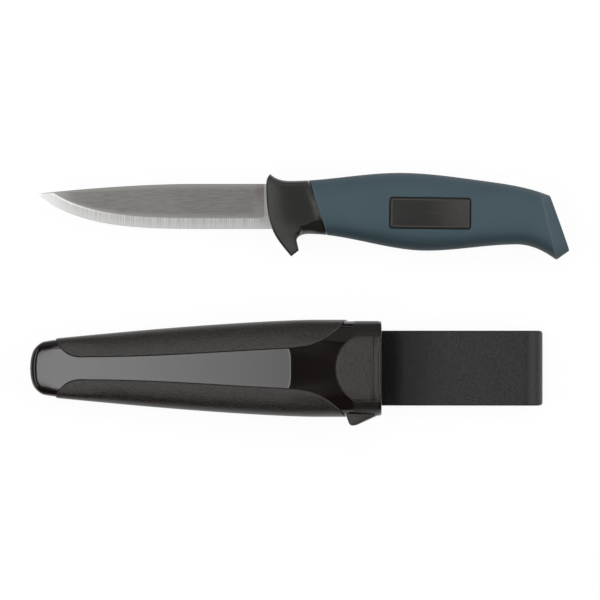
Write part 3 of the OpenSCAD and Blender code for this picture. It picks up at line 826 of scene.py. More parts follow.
# Handle

FACET_TOP_X = END_TOP_X - FACET_WIDTH
GRIP_START = PARTING_AT + PARTING_SLANT / 2
TOP_LINE = [(HORN_X, HORN_RISE, HORN_SLOPE), (NECK_TOP_X, NECK_RISE, 0.0),
            (SWELL_AT + TOP_SWELL_SHIFT, SWELL_RISE, 0.0), (FLOW_X, SWELL_RISE - FLOW_FALL, FLOW_SLOPE),
            (END_TOP_X, END_RISE, END_SLOPE)]
BOTTOM_LINE = [(NECK_BOTTOM_X, -NECK_DROP, 0.0), (SWELL_AT + LOW_SWELL_SHIFT, -SWELL_DROP, 0.0),
               (WAIST_X, -WAIST_DROP, 0.0), (HEEL_X, -HEEL_DROP, HEEL_SLOPE)]
SIDE_LINE = [(GRIP_START, HALF_NECK, NECK_FLARE), (SWELL_AT + SIDE_SWELL_SHIFT, HALF_SWELL, 0.0),
             (WAIST_X, HALF_WAIST, 0.0), (HEEL_X, HALF_WAIST + HEEL_FLARE, HEEL_SIDE_SLOPE)]
FRONT_LINE = [(-HOOK_DROP, HOOK_SETBACK, HOOK_LEAN), (-HALF_BLADE, FACE_LOW_X, FACE_LOW_LEAN),
              (HALF_BLADE, FACE_TOP_X, 0.0), (HORN_RISE, HORN_X, HORN_LEAN)]


def on_line(line, x):
    """Point of the side view on the top or the bottom line."""
    return Vector((x, along(line, x)))


HOOK_TIP = Vector((HOOK_SETBACK, -HOOK_DROP))
HOOK_HEEL = HOOK_TIP + HOOK_HEEL_STEP
HOOK_ROOT = Vector((NECK_BOTTOM_X, -NECK_DROP)) + HOOK_ROOT_STEP
PART_TOP = on_line(TOP_LINE, PARTING_AT)
PART_BOTTOM = on_line(BOTTOM_LINE, PARTING_AT + PARTING_SLANT)
RIDGE_TOP = on_line(TOP_LINE, FACET_TOP_X)
RIDGE_BOTTOM = Vector((HEEL_X, -HEEL_DROP))
GRIP_END = (FACET_TOP_X + HEEL_X) / 2
END_SLANT = HEEL_X - FACET_TOP_X
STEM_SHARE = (HANDLE_LENGTH - STEM_TAIL - GRIP_START) / (GRIP_END - GRIP_START)


def guard_top(v):
    return on_line(TOP_LINE, mix(HORN_X, PARTING_AT, v))


def guard_bottom(v):
    """Bottom line of the guard, from the hook's tip round the finger groove to the parting line."""
    if v <= HEEL_TURN:
        return mix(HOOK_TIP, HOOK_HEEL, v / HEEL_TURN)
    if v <= ROOT_TURN:
        return mix(HOOK_HEEL, HOOK_ROOT, (v - HEEL_TURN) / (ROOT_TURN - HEEL_TURN))
    if v <= NECK_TURN:
        angle = math.pi / 2 * (v - ROOT_TURN) / (NECK_TURN - ROOT_TURN)
        return Vector((mix(NECK_BOTTOM_X, HOOK_ROOT.x, math.cos(angle)),
                       mix(HOOK_ROOT.y, -NECK_DROP, math.sin(angle))))
    return on_line(BOTTOM_LINE, mix(NECK_BOTTOM_X, PART_BOTTOM.x, (v - NECK_TURN) / (1 - NECK_TURN)))


def guard_front(u):
    y = mix(HORN_RISE, -HOOK_DROP, u)
    return Vector((along(FRONT_LINE, y), y))


def guard_point(u, v):
    """Point of the guard's side view, filled in between its four border lines."""
    across = mix(guard_front(u), mix(PART_TOP, PART_BOTTOM, u), v)
    upright = mix(guard_top(v), guard_bottom(v), u)
    corners = mix(mix(guard_front(0), guard_front(1), u), mix(PART_TOP, PART_BOTTOM, u), v)
    return across + upright - corners


def guard_share(p):
    """Share of the way from the guard's front to the parting line at a point of its side view."""
    front = along(FRONT_LINE, p.y)
    parting = PART_TOP.x + (PART_TOP.y - p.y) * PARTING_SLANT / (PART_TOP.y - PART_BOTTOM.y)
    return clamp((p.x - front) / (parting - front))


def soft_ramp(value):
    """Zero up to 0, then a soft start to a slope of one."""
    if value < SCOOP_SOFT:
        return max(0.0, value) ** 2 / (2 * SCOOP_SOFT)
    return value - SCOOP_SOFT / 2


def scoop_run(p):
    """How far down the scoop above the finger groove a point of the side view lies."""
    return soft_ramp(along(SCOOP_TOP, p.x) - p.y) * ease((p.x - SCOOP_TOP[0][0]) / SCOOP_OVER)


def edge_drop(distance, reach, drop):
    """How much thinner the guard is at a distance from an edge that is rounded over a reach."""
    return drop * clamp(1 - distance / reach) ** EDGE_POWER


def round_edge(share, left):
    """Share of the thickness at a rounded edge, from what is left of it at the edge to the whole."""
    return mix(left, 1.0, math.sqrt(1 - (1 - clamp(share)) ** 2))


def guard_ring(v):
    """Ring of the guard, thinner at the hook, rounded at its edges and scooped above the finger groove."""
    top_turned = ease((v - TOP_TURN) / (1 - TOP_TURN))
    low_turned = ease((v - LOW_TURN) / (1 - LOW_TURN))
    top_power = mix(TOP_POWER, GRIP_POWER, top_turned)
    low_power = mix(LOW_POWER, GRIP_POWER, low_turned)
    top_drop = TOP_DROP * (1 - top_turned)
    groove_drop = GROOVE_DROP * ease((v - GROOVE_FROM) / GROOVE_LEAD) * (1 - low_turned)
    steep = mix(SCOOP_STEEP, SCOOP_STEEP_END, low_turned)
    front = round_edge(v / FRONT_EDGE, FRONT_EDGE_SHARE)
    tall = (guard_top(v) - guard_bottom(v)).length
    half = []
    for c in rounds(HALF_STEPS):
        p = guard_point((1 - c) / 2, v)
        side = along(GUARD_SIDE, guard_share(p)) - steep * scoop_run(p)
        side -= HOOK_THIN * ease((HOOK_THIN_FROM - p.y) / (HOOK_THIN_FROM + HOOK_DROP))
        side -= edge_drop((1 - c) / 2 * tall, TOP_REACH, top_drop)
        side -= edge_drop((1 + c) / 2 * tall, GROOVE_REACH, groove_drop)
        half.append((p.x, p.y, side * full(c, top_power if c > 0 else low_power) * front))
    return both_sides(half, FLIP_Z)


def grip_ring(top, bottom, half_t, inset=0.0):
    """Ring of the grip between a top and a bottom point, drawn in by an inset."""
    share = inset / (top - bottom).length
    high = mix(top, bottom, share)
    low = mix(bottom, top, share)
    half = []
    for c in rounds(HALF_STEPS):
        p = mix(high, low, (1 - c) / 2)
        half.append((p.x, p.y, (half_t - inset) * full(c, GRIP_POWER)))
    return both_sides(half, FLIP_Z)


def grip_section(s, inset=0.0):
    x = mix(GRIP_START, GRIP_END, s)
    lean = PARTING_SLANT * max(0.0, 1 - s / SLANT_SHARE) ** 2
    lean += END_SLANT * max(0.0, 1 - (1 - s) / SLANT_SHARE) ** 2
    top = on_line(TOP_LINE, x - lean / 2)
    bottom = on_line(BOTTOM_LINE, x + lean / 2)
    return grip_ring(top, bottom, along(SIDE_LINE, x), inset)


def stem_rings():
    return [grip_section(s, GRIP_WALL) for s in evenly(0.0, 1.0, GRIP_STEPS) if s < STEM_SHARE]


def guard():
    marks = [FRONT_EDGE * s ** 2 for s in evenly(0.0, 1.0, TURN_STEPS)[:-1]]
    marks += evenly(FRONT_EDGE, 1 - PARTING_GAP, GUARD_STEPS)
    seat = [grip_section(0.0, PARTING_SEAT), grip_section(PARTING_OVERLAP, PARTING_SEAT)]
    rings = [guard_ring(v) for v in marks] + seat + stem_rings()[len(seat):]
    piece = new_mesh("guard_look", *loft(rings), knife_place)
    stand_for(piece, PLASTIC_SHARP, [guard_plastic()], "guard_plastic", "knife", "handle_core")


def grip_rings():
    """Stem hole from its far end, the rounded lip at the parting line, the outside and the pommel."""
    span = GRIP_END - GRIP_START
    rings = stem_rings()[::-1]
    for cosine, sine in quarter_turn(LIP_STEPS)[:-1]:
        rings.append(grip_section(GRIP_LIP * (1 - cosine) / span, GRIP_LIP * (1 - sine)))
    rings += [grip_section(s) for s in evenly(GRIP_LIP / span, RIDGE_BEFORE, GRIP_STEPS)[:-1]]
    end_high = Vector((END_TOP_X, END_RISE))
    end_low = Vector((HANDLE_LENGTH, -END_BOTTOM_DROP))
    end_half = along(SIDE_LINE, HEEL_X) * END_SHARE
    ridge = grip_section(1.0)
    end = grip_ring(end_high, end_low, end_half)
    end_inner = grip_ring(end_high, end_low, end_half, END_INSET)

    def facet(share):
        return [tuple(mix(Vector(a), Vector(b), share)) for a, b in zip(ridge, end)]

    rings += bend_rings(grip_section(RIDGE_BEFORE), ridge, facet(RIDGE_AFTER), TURN_STEPS)
    rings += bend_rings(facet(FACET_KEEP), end, end_inner, TURN_STEPS)
    return rings


def plate_turn(x, y):
    """Point of the plate's own outline, turned and moved to its place on the grip."""
    angle = math.radians(PLATE_TILT)
    return (PLATE_AT + x * math.cos(angle) - y * math.sin(angle),
            -PLATE_DROP + x * math.sin(angle) + y * math.cos(angle))


def plate_outline(inset):
    """Rounded rectangle drawn in by an inset, from its right side and round."""
    corner = max(LEAST_CORNER, PLATE_CORNER - inset)
    long_half = PLATE_LENGTH / 2 - inset - corner
    short_half = max(LEAST_HALF, PLATE_HEIGHT / 2 - inset - corner)
    outline = []
    for quarter, (right, up) in enumerate(((1, 1), (-1, 1), (-1, -1), (1, -1))):
        x = right * long_half
        y = up * short_half
        for turned in evenly(quarter, quarter + 1, CORNER_STEPS):
            angle = math.pi / 2 * turned
            outline.append((x + corner * math.cos(angle), y + corner * math.sin(angle)))
        if quarter in (0, 2):
            outline += [(along_side, y + up * corner) for along_side in evenly(x, -x, SIDE_STEPS)[1:-1]]
    return [plate_turn(x, y) for x, y in outline]


def grip_z(x, y):
    """Height of the grip's side over a point of its side view."""
    top = along(TOP_LINE, x)
    bottom = along(BOTTOM_LINE, x)
    return along(SIDE_LINE, x) * full((2 * y - top - bottom) / (top - bottom), GRIP_POWER)


def cut_pockets(piece):
    """Cuts the two plate pockets into the grip."""
    outline = plate_outline(0.0)
    cutters = []
    for side in (1, -1):
        levels = [[(x, y, side * z) for x, y in outline] for z in (PLATE_SEAT, POCKET_TOP)]
        cutter = new_mesh("pocket", *stack(levels), knife_place)
        cut = piece.modifiers.new("pocket", "BOOLEAN")
        cut.operation = "DIFFERENCE"
        cut.solver = "EXACT"
        cut.object = cutter
        cutters.append(cutter)
    bpy.context.view_layer.update()
    cut_mesh = bpy.data.meshes.new_from_object(piece.evaluated_get(bpy.context.evaluated_depsgraph_get()))
    piece.modifiers.clear()
    piece.data = cut_mesh
    for cutter in cutters:
        bpy.data.objects.remove(cutter)


def from_line(point, a, b):
    """Distance of a point of the side view from the line through a and b."""
    way = (b - a).normalized()
    return abs((point.x - a.x) * way.y - (point.y - a.y) * way.x)


def mark_painted_light(piece):
    """Marks the lip at the parting line and the ridge round the pommel for a painted highlight, and the
    surfaces facing down for painted shade.
    """
    edges = []
    underside_shade = []
    for vertex in piece.data.vertices:
        point = vertex.co / MM - knife_origin
        nearest = min(from_line(point, PART_TOP, PART_BOTTOM), from_line(point, RIDGE_TOP, RIDGE_BOTTOM))
        edges.append(clamp(1 - nearest / EDGE_HIGHLIGHT_WIDTH))
        underside_shade.append(ease((-vertex.normal.y - UNDERSIDE_SHADE_FROM) / UNDERSIDE_SHADE_OVER))
    mark(piece, "edges", edges)
    mark(piece, "underside_shade", underside_shade)


def grip():
    piece = new_mesh("grip_look", *loft(grip_rings()), knife_place)
    cut_pockets(piece)
    mark_painted_light(piece)
    stand_for(piece, PLASTIC_SHARP, [soft_grip()], "soft_grip", "knife", "grip_sleeve")


def label_plate(node, side, materials):
    """Bare plate with a rounded bead round a grained field that follows the grip's side."""
    lines = [(depth + PLATE_INSET, lift) for depth, lift in BORDER_LINE + BEAD_LINE]
    lines += [(depth, FIELD_LIFT) for depth in evenly(lines[-1][0], FIELD_DEPTH, FIELD_STEPS)[1:]]
    outlines = [[(x, y, side * PLATE_SEAT) for x, y in plate_outline(PLATE_INSET)]]
    for depth, lift in lines:
        outlines.append([(x, y, side * (grip_z(x, y) + lift)) for x, y in plate_outline(depth)])
    piece = new_mesh(f"{node}_look", *stack(outlines), knife_place)
    shares = [ease((x - RUBBED_FROM) / RUBBED_OVER) for outline in outlines for x, y, z in outline]
    mark(piece, "rubbed", shares)
    around = len(outlines[0])
    bead_row = len(BORDER_LINE)
    field_row = bead_row + len(BEAD_LINE)
    for face in piece.data.polygons:
        row = min(face.vertices) // around
        face.material_index = 2 if row >= field_row else 1 if row >= bead_row else 0
    stand_for(piece, PLATE_SHARP, materials, "plate_plastic", "knife", node)


def label_plates():
    materials = (plate_border(), plate_bead(), plate_field())
    label_plate("label_plate_front", 1, materials)
    label_plate("label_plate_back", -1, materials)


# Sheath

FRONT_LINE_T = [(-SHEATH_LENGTH, HALF_TIP, FRONT_TIP_SLOPE), (-SADDLE_FROM, SADDLE_HALF_T, SADDLE_LEAD),
                (-SADDLE_FOOT, FOOT_HALF_T, SADDLE_SLOPE), (-SADDLE_BROW, BROW_HALF_T, SADDLE_SLOPE),
                (-SADDLE_TO, MOUTH_HALF_T, 0.0)]
BACK_LINE_T = [(-SHEATH_LENGTH, HALF_TIP, BACK_TIP_SLOPE), (-BACK_FLAT, MOUTH_HALF_T, 0.0)]
FLANK_LINE = [(FLANK_START - SHEATH_LENGTH, TIP_HALF_W - FLANK_TIP_IN, FLANK_TIP_SLOPE),
              (FLANK_BLEND - SHEATH_LENGTH, PANEL_TIP_HALF, 0.0),
              (-THROAT_START, PANEL_THROAT_HALF, FLANK_THROAT_SLOPE),
              (-COLLAR_LENGTH, MOUTH_HALF_W - FLANK_END_IN, FLANK_END_SLOPE)]
PAD_RIGHT = MOUTH_HALF_T * math.tan(LIE_ANGLE) - PAD_LIP
PAD_RADIUS = (PAD_HALF_W ** 2 + PAD_CROWN ** 2) / (2 * PAD_CROWN)


def tip_inset(x, radius):
    d = max(0.0, radius - (x + SHEATH_LENGTH))
    return radius - math.sqrt(max(0.0, radius * radius - d * d))


def shell_half_w(x):
    taper = max(0.0, (-x - WIDEST_AT) / TAPER_LENGTH) ** TAPER_POWER
    return mix(MOUTH_HALF_W, TIP_HALF_W, taper) - tip_inset(x, TIP_ROUND)


def pad_left(y):
    return PAD_RIGHT - PAD_LENGTH + PAD_RADIUS - math.sqrt(PAD_RADIUS ** 2 - y * y)


def shell_front_t(x, y=0.0):
    """Half thickness of the front. Its saddle follows the round end of the pad."""
    at_pad = pad_left(min(abs(y), PAD_HALF_W)) - pad_left(0.0)
    at_start = -SADDLE_BOW * min(1.0, abs(y) / PANEL_THROAT_HALF) ** SADDLE_BOW_POWER
    shift = mix(at_start, at_pad, ease((x + SADDLE_BLEND_FROM) / SADDLE_BLEND_OVER))
    return along(FRONT_LINE_T, x - shift) - tip_inset(x, FRONT_ROUND) * FRONT_FLAT


def shell_back_t(x):
    return along(BACK_LINE_T, x) - tip_inset(x, TIP_ROUND) * TIP_FLAT


def front_power(x):
    """The front is flatter near the tip, where its panel has a crisp rim."""
    return mix(FRONT_TIP_POWER, FRONT_POWER, ease((x + SHEATH_LENGTH - FRONT_POWER_FROM) / FRONT_POWER_OVER))


def mouth_lean(x):
    """The mouth is upright while the sheath lies at its angle, so its rings lean towards it."""
    return math.tan(LIE_ANGLE) * ease(1 + x / COLLAR_LENGTH)


def shell_point(x, angle, lift=0.0):
    """Point of the shell at an angle from its side: a quarter turn is the middle of the front."""
    front = angle >= 0
    power = front_power(x) if front else BACK_POWER
    y = (shell_half_w(x) + lift) * max(0.0, math.cos(angle)) ** (2 / power)
    half_t = (shell_front_t(x, y) if front else shell_back_t(x)) + lift
    out = abs(math.sin(angle)) ** (2 / power)
    return (x, y, half_t * out * (1 if front else -1))


def shell_ring(x, lift=0.0):
    half = []
    for i in range(2 * SHELL_HALF_STEPS + 1):
        p = shell_point(x, math.pi / 2 * (1 - i / SHELL_HALF_STEPS), lift)
        on_middle = i in (0, 2 * SHELL_HALF_STEPS)
        bow = TIP_BOW * (p[1] / TIP_HALF_W) ** 2 * ease(1 - (x + SHEATH_LENGTH) / TIP_BOW_LENGTH)
        half.append((x + bow + p[2] * mouth_lean(x), 0.0 if on_middle else p[1], p[2]))
    return both_sides(half, FLIP_Y)


def shell_front_z(x, y):
    return shell_front_t(x, y) * full(y / shell_half_w(x), front_power(x))


def front_angle(x, y):
    """Angle on the shell's front at which it reaches a distance from the middle line."""
    share = clamp(y / shell_half_w(x))
    return math.acos(share ** (front_power(x) / 2))


def collar_share(x):
    """Share of the collar's satin finish, which stops at the glossy lip."""
    return ease((x + SATIN_LENGTH) / SATIN_BLEND) * (1 - ease((x + SATIN_LIP) / SATIN_LIP_BLEND))


def body_marks():
    """Places of the rings from the mouth to the tip, closer together where the saddle starts."""
    fine_from = SADDLE_FINE[0] - SADDLE_FROM
    fine_to = SADDLE_FINE[1] - SADDLE_FROM
    marks = evenly(-LIP_ROUND, TIP_ROUND - SHEATH_LENGTH, SHELL_STEPS)[1:-1]
    marks = [x for x in marks if x < fine_from - SADDLE_FINE_STEP or x > fine_to + SADDLE_FINE_STEP]
    count = round((fine_to - fine_from) / SADDLE_FINE_STEP)
    marks += evenly(fine_from, fine_to, count)
    return sorted(marks, reverse=True)


def shell():
    """Hollow shell: cavity from its far end to the mouth, the rounded lip, and the outside to the tip."""
    inner_end = TIP_WALL - SHEATH_LENGTH
    cavity = [shell_ring(x, -SHEATH_WALL) for x in evenly(inner_end, -LIP_ROUND, SHELL_STEPS)[:-1]]
    lip = []
    for angle in evenly(0.0, math.pi, 2 * LIP_STEPS):
        lift = -SHEATH_WALL * (1 + math.cos(angle)) / 2
        lip.append(shell_ring(-LIP_ROUND * (1 - math.sin(angle)), lift))
    body = [shell_ring(x) for x in body_marks()]
    tip = [shell_ring(TIP_ROUND * (1 - sine) - SHEATH_LENGTH) for cosine, sine in quarter_turn(TIP_STEPS)]
    points, faces = loft(cavity + lip + body + tip)
    piece = new_mesh("sheath_shell_look", points, faces, sheath_place)
    mark(piece, "collar", [collar_share(x - z * mouth_lean(x)) for x, y, z in points])
    stand_for(piece, PLASTIC_SHARP, [gloss_shell()], "gloss_shell", "sheath", "sheath_shell")


def round_tab(editable):
    bmesh.ops.bevel(editable, geom=editable.edges[:], offset=TAB_ROUND * MM, segments=TAB_ROUND_STEPS,
                    affect="EDGES", profile=ROUND_PROFILE)


def thumb_tab(material):
    outline = [(0.0, TAB_ROOT), (0.0, 0.0), (TAB_LEAD, -TAB_SHOULDER * TAB_REACH), (TAB_CREST[0], -TAB_REACH),
               (TAB_CREST[1], -TAB_REACH), (TAB_LENGTH, 0.0), (TAB_LENGTH, TAB_ROOT)]
    levels = [[(x - TAB_FROM, y - MOUTH_HALF_W, z) for x, y in outline] for z in (-HALF_TAB, HALF_TAB)]
    piece = new_mesh("thumb_tab_look", *stack(levels), sheath_place)
    rework(piece.data, round_tab)
    stand_for(piece, PLASTIC_SHARP, [material], "gloss_shell", "sheath", "sheath_shell")


def rim_marks(start, end, steps):
    """Places from start to end, closer at both rims, each with its height."""
    low_side = [(start + inset, lift) for inset, lift in RIM_LINE]
    high_side = [(end - inset, lift) for inset, lift in RIM_LINE[::-1]]
    middle = [(x, FLANK_RAISE) for x in evenly(low_side[-1][0], high_side[0][0], steps)[1:-1]]
    return low_side + middle + high_side


def flank(node, side, material):
    """Raised grained panel along one side of the shell, with a rounded rim."""
    upper = []
    lower = []
    for x, row_lift in rim_marks(FLANK_START - SHEATH_LENGTH, -COLLAR_LENGTH, FLANK_STEPS):
        border = along(FLANK_LINE, x)
        marks = [(front_angle(x, border + inset), lift) for inset, lift in RIM_LINE]
        around = evenly(marks[-1][0], FLANK_BACK + FLANK_BACK_RIM, FLANK_AROUND)[1:]
        marks += [(angle, FLANK_RAISE) for angle in around]
        marks.append((FLANK_BACK, RIM_LINE[0][1]))
        upper.append([shell_point(x, angle, min(lift, row_lift)) for angle, lift in marks])
        lower.append([shell_point(x, angle, SKIN_FLOOR) for angle, lift in marks])
    points, faces = slab(upper, lower)
    points = [(x, side * y, z) for x, y, z in points]
    piece = new_mesh(f"{node}_look", points, faces, sheath_place)
    stand_for(piece, SKIN_SHARP, [material], "grained_plastic", "sheath", node)


def throat_pad(material):
    """Raised grained pad with a round end, a rounded rim and one faint line across it near the mouth."""
    upper = []
    lower = []
    share = PAD_RAISE / FLANK_RAISE
    groove_x = PAD_RIGHT - PAD_GROOVE
    for y, row_lift in rim_marks(-PAD_HALF_W, PAD_HALF_W, PAD_ROWS):
        marks = rim_marks(pad_left(y), groove_x - PAD_GROOVE_HALF, PAD_COLUMNS)[:-len(RIM_LINE)]
        marks.append((groove_x - PAD_GROOVE_HALF, FLANK_RAISE))
        marks.append((groove_x, FLANK_RAISE - PAD_GROOVE_DEPTH))
        marks.append((groove_x + PAD_GROOVE_HALF, FLANK_RAISE))
        marks += [(PAD_RIGHT - inset, lift) for inset, lift in RIM_LINE[::-1]]
        upper.append([(x, y, shell_front_z(x, y) + share * min(lift, row_lift)) for x, lift in marks])
        lower.append([(x, y, shell_front_z(x, y) + SKIN_FLOOR) for x, lift in marks])
    piece = new_mesh("throat_pad_look", *slab(upper, lower), sheath_place)
    stand_for(piece, SKIN_SHARP, [material], "grained_plastic", "sheath", "throat_pad")


# Belt loop and rivets

SEAT_Z = -MOUTH_HALF_T - STRAP_GAP
FLOOR_DROP = sheath_origin.z
FOLD_R = ((FLOOR_DROP + LOOP_REACH * math.sin(LIE_ANGLE) + SEAT_Z * math.cos(LIE_ANGLE))
          / (1 + math.sin(LIE_ANGLE) + math.cos(LIE_ANGLE)))


def straight(a, b):
    """Points from a to b, evenly spaced and without b."""
    count = max(1, round((b - a).length / STRAP_STEP))
    return evenly(a, b, count)[:-1]


def strap_path():
    """Middle line of the strap, from its front end round the fold to its rear end."""
    front_z = SEAT_Z - HALF_STRAP_T
    r = FOLD_R - HALF_STRAP_T
    turn = math.pi + LIE_ANGLE
    middle = Vector((LOOP_REACH - FOLD_R, front_z - r))
    fold = []
    for angle in evenly(math.pi / 2, math.pi / 2 - turn, FOLD_STEPS):
        fold.append(middle + r * Vector((math.cos(angle), math.sin(angle))))
    land_floor = (-FLOOR_DROP - STRAP_REAR_LAND * math.sin(LIE_ANGLE)) / math.cos(LIE_ANGLE)
    land = Vector((STRAP_REAR_LAND, land_floor + HALF_STRAP_T / math.cos(LIE_ANGLE)))
    leave = Vector((-STRAP_REAR_LEAVE, front_z))
    rear = Vector((-STRAP_REAR_START, front_z))
    path = straight(Vector((-STRAP_FRONT_END, front_z)), fold[0]) + fold
    for corner, onward in ((land, leave), (leave, rear)):
        start = corner + (path[-1] - corner).normalized() * STRAP_BEND
        end = corner + (onward - corner).normalized() * STRAP_BEND
        path += straight(path[-1], start)[1:] + bend(start, corner, end, TURN_STEPS)
    return path + straight(path[-1], rear)[1:] + [rear]


def strap_section():
    """Half section across the strap with round edges: distance from its middle, height."""
    flat = HALF_STRAP_W - STRAP_ROUND
    level = HALF_STRAP_T - STRAP_ROUND
    upper = [(across, HALF_STRAP_T) for across in evenly(0.0, flat, STRAP_ACROSS)[:-1]]
    for cosine, sine in quarter_turn(STRAP_CORNER_STEPS)[::-1]:
        upper.append((flat + STRAP_ROUND * cosine, level + STRAP_ROUND * sine))
    return upper + [(across, -height) for across, height in upper[::-1]]


def belt_loop():
    path = strap_path()
    section = strap_section()
    rings = []
    for i, point in enumerate(path):
        way = (path[min(i + 1, len(path) - 1)] - path[max(i - 1, 0)]).normalized()
        out = Vector((-way.y, way.x))
        past = clamp((point.x - LOOP_REACH + HALF_STRAP_T + FOLD_CORNER) / FOLD_CORNER)
        narrow = 1 - FOLD_CORNER * (1 - math.sqrt(1 - past * past)) / HALF_STRAP_W
        half = [(point.x + out.x * h, across * narrow, point.y + out.y * h) for across, h in section]
        rings.append(both_sides(half, FLIP_Y))
    piece = new_mesh("belt_loop_look", *loft(rings), sheath_place)
    # Painted shade: the worn share is low next to the mouth, where the strap is painted darker, and rises
    # further out
    mark(piece, "worn", [ease((x - MOUTH_SHADE_FROM) / MOUTH_SHADE_OVER) for ring in rings for x, y, z in ring])
    stand_for(piece, PLASTIC_SHARP, [strap_plastic()], "strap", "sheath", "belt_loop")


def rivet_line():
    """Outline of a rivet from the middle of its domed head to the middle of its tail: radius, height."""
    head = SEAT_Z - 2 * HALF_STRAP_T - RIVET_HEAD[-1][1]
    tail = SHEATH_WALL - MOUTH_HALF_T + STRAP_GAP
    return [(r, head + z) for r, z in RIVET_HEAD] + [(r, tail + z) for r, z in RIVET_TAIL]


def weld(editable):
    bmesh.ops.remove_doubles(editable, verts=editable.verts, dist=RIVET_WELD * MM)


def rivets(node, x, material):
    outline = rivet_line()
    points = []
    faces = []
    for side in (1, -1):
        base = len(points)
        for radius, z in outline:
            for i in range(RIVET_AROUND):
                angle = 2 * math.pi * i / RIVET_AROUND
                y = side * HALF_RIVET_PITCH + radius * math.sin(angle)
                points.append((x + radius * math.cos(angle), y, z))
        faces += [tuple(base + i for i in face) for face in band(len(outline), RIVET_AROUND)]
    piece = new_mesh(f"{node}_look", points, faces, sheath_place)
    rework(piece.data, weld)
    stand_for(piece, PLASTIC_SHARP, [material], "rivet_metal", "sheath", node)


# Stage, in metres

FLOOR_SIZE = 6.0
FLOOR_GLOW = 0.88
FLOOR_LEVEL = 1.06
FLOOR_GREY = 0.8
FLOOR_ROUGHNESS = 0.9
FLOOR_SPECULAR = 0.1
CAMERA_HEIGHT = 4.0
CAMERA_LEVEL = 0.012
CAMERA_X = 0.00012
CAMERA_Y = -0.0004
FIELD = 0.24
SENSOR_WIDTH = 36.0
CLIP_END = 100.0
WORLD_LIGHT = 0.08
BOX_LEVEL = 1.0
LEFT_X = -0.2835
LEFT_Y = -0.075
LEFT_WIDTH = 0.207
LEFT_DEPTH = 0.51
LEFT_STRIPS = 9
LEFT_HIGH = 5.9
LEFT_LOW = 1.2

# Soft boxes that face straight down: name, x, y, width, depth, radiance
OVERHEAD_BOXES = (
    ("left_front_box", LEFT_X, -0.55, LEFT_WIDTH, 0.42, 2.4),
    ("left_back_box", LEFT_X, 0.41, LEFT_WIDTH, 0.44, 2.2),
    ("front_box", -0.115, -0.62, 0.43, 0.5, 1.4),
    ("top_back_box", 0.15, 0.55, 0.5, 0.45, 2.0),
)

# Soft boxes round the set: name, place, target, width, depth, radiance
SIDE_BOXES = (
    ("far_left_box", (-1.0, 0.0, 0.9), (0.0, 0.0, 0.0), 1.2, 0.6, 1.8),
    ("right_box", (0.95, 0.0, 0.8), (0.05, 0.0, 0.0), 1.0, 1.2, 1.8),
    ("back_box", (0.0, 1.7, 1.0), (0.0, 0.0, 0.0), 3.4, 1.6, 0.35),
)


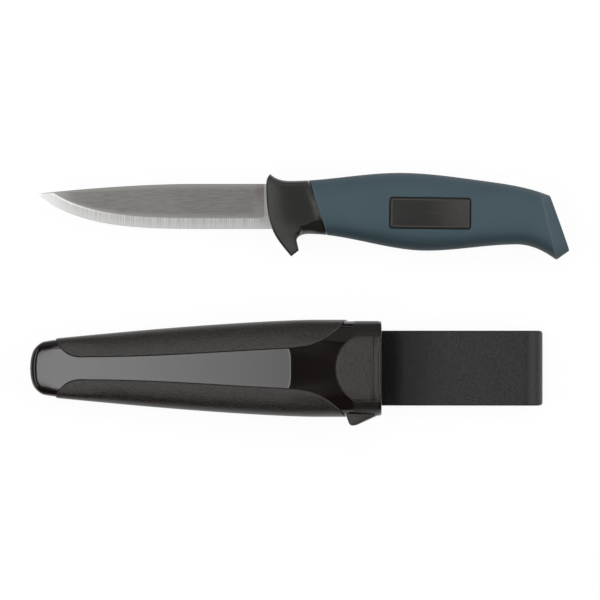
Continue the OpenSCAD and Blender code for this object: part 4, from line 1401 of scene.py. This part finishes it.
def floor():
    """Plain white floor. Seen directly or in a gloss it is mostly its own even white, with a faint shadow."""
    half = FLOOR_SIZE / 2
    mesh = bpy.data.meshes.new("floor")
    corners = [(-half, -half, 0), (half, -half, 0), (half, half, 0), (-half, half, 0)]
    mesh.from_pydata(corners, [], [(0, 1, 2, 3)])
    finish = Finish("floor_white", FLOOR_ROUGHNESS, specular=FLOOR_SPECULAR)
    finish.feed(finish.shader, {"Base Color": (FLOOR_GREY, FLOOR_GREY, FLOOR_GREY, 1.0)})
    seen = finish.add("ShaderNodeLightPath", "Is Camera Ray", {})
    for kind in ("Is Glossy Ray", "Is Transmission Ray"):
        ray = finish.add("ShaderNodeLightPath", kind, {})
        seen = finish.add("ShaderNodeMath", "Value", {0: seen, 1: ray}, operation="MAXIMUM")
    share = finish.add("ShaderNodeMath", "Value", {0: seen, 1: FLOOR_GLOW}, operation="MULTIPLY")
    glow = finish.add("ShaderNodeEmission", "Emission", {"Strength": FLOOR_LEVEL})
    shaders = {"Fac": share, 1: finish.shader.outputs["BSDF"], 2: glow}
    blend = finish.add("ShaderNodeMixShader", "Shader", shaders)
    finish.feed(finish.tree.nodes["Material Output"], {"Surface": blend})
    mesh.materials.append(finish.material)
    new_object("floor", mesh)


def lamp(name, middle, target, width, depth, radiance):
    """Soft box of a width and a depth that looks at a target."""
    data = bpy.data.lights.new(name, "AREA")
    data.shape = "RECTANGLE"
    data.size = width
    data.size_y = depth
    data.energy = radiance * math.pi * width * depth
    box = new_object(name, data)
    box.location = middle
    box.rotation_euler = (Vector(target) - Vector(middle)).to_track_quat("-Z", "Y").to_euler()


def overhead(name, x, y, width, depth, radiance):
    lamp(name, (x, y, BOX_LEVEL), (x, y, 0.0), width, depth, radiance)


def lights():
    world = bpy.data.worlds.new("studio")
    world.use_nodes = True
    grey = (WORLD_LIGHT, WORLD_LIGHT, WORLD_LIGHT, 1.0)
    world.node_tree.nodes["Background"].inputs["Color"].default_value = grey
    bpy.context.scene.world = world
    step = LEFT_WIDTH / LEFT_STRIPS
    for i in range(LEFT_STRIPS):
        x = LEFT_X - LEFT_WIDTH / 2 + step * (i + 0.5)
        radiance = mix(LEFT_HIGH, LEFT_LOW, i / (LEFT_STRIPS - 1))
        overhead(f"left_strip_{i}", x, LEFT_Y, step, LEFT_DEPTH, radiance)
    for box in OVERHEAD_BOXES:
        overhead(*box)
    for box in SIDE_BOXES:
        lamp(*box)


def camera():
    data = bpy.data.cameras.new("camera")
    data.sensor_width = SENSOR_WIDTH
    data.lens = SENSOR_WIDTH * CAMERA_HEIGHT / FIELD
    data.clip_end = CLIP_END
    viewer = new_object("camera", data)
    viewer.location = (CAMERA_X, CAMERA_Y, CAMERA_LEVEL + CAMERA_HEIGHT)
    bpy.context.scene.camera = viewer


grained = grained_plastic()
rivet_finish = rivet_metal()
blade()
guard()
grip()
label_plates()
shell()
thumb_tab(grained)
flank("upper_flank", 1, grained)
flank("lower_flank", -1, grained)
throat_pad(grained)
belt_loop()
rivets("front_rivets", FRONT_RIVET_X, rivet_finish)
rivets("rear_rivets", REAR_RIVET_X, rivet_finish)
floor()
lights()
camera()
bpy.context.scene.view_settings.view_transform = "Standard"
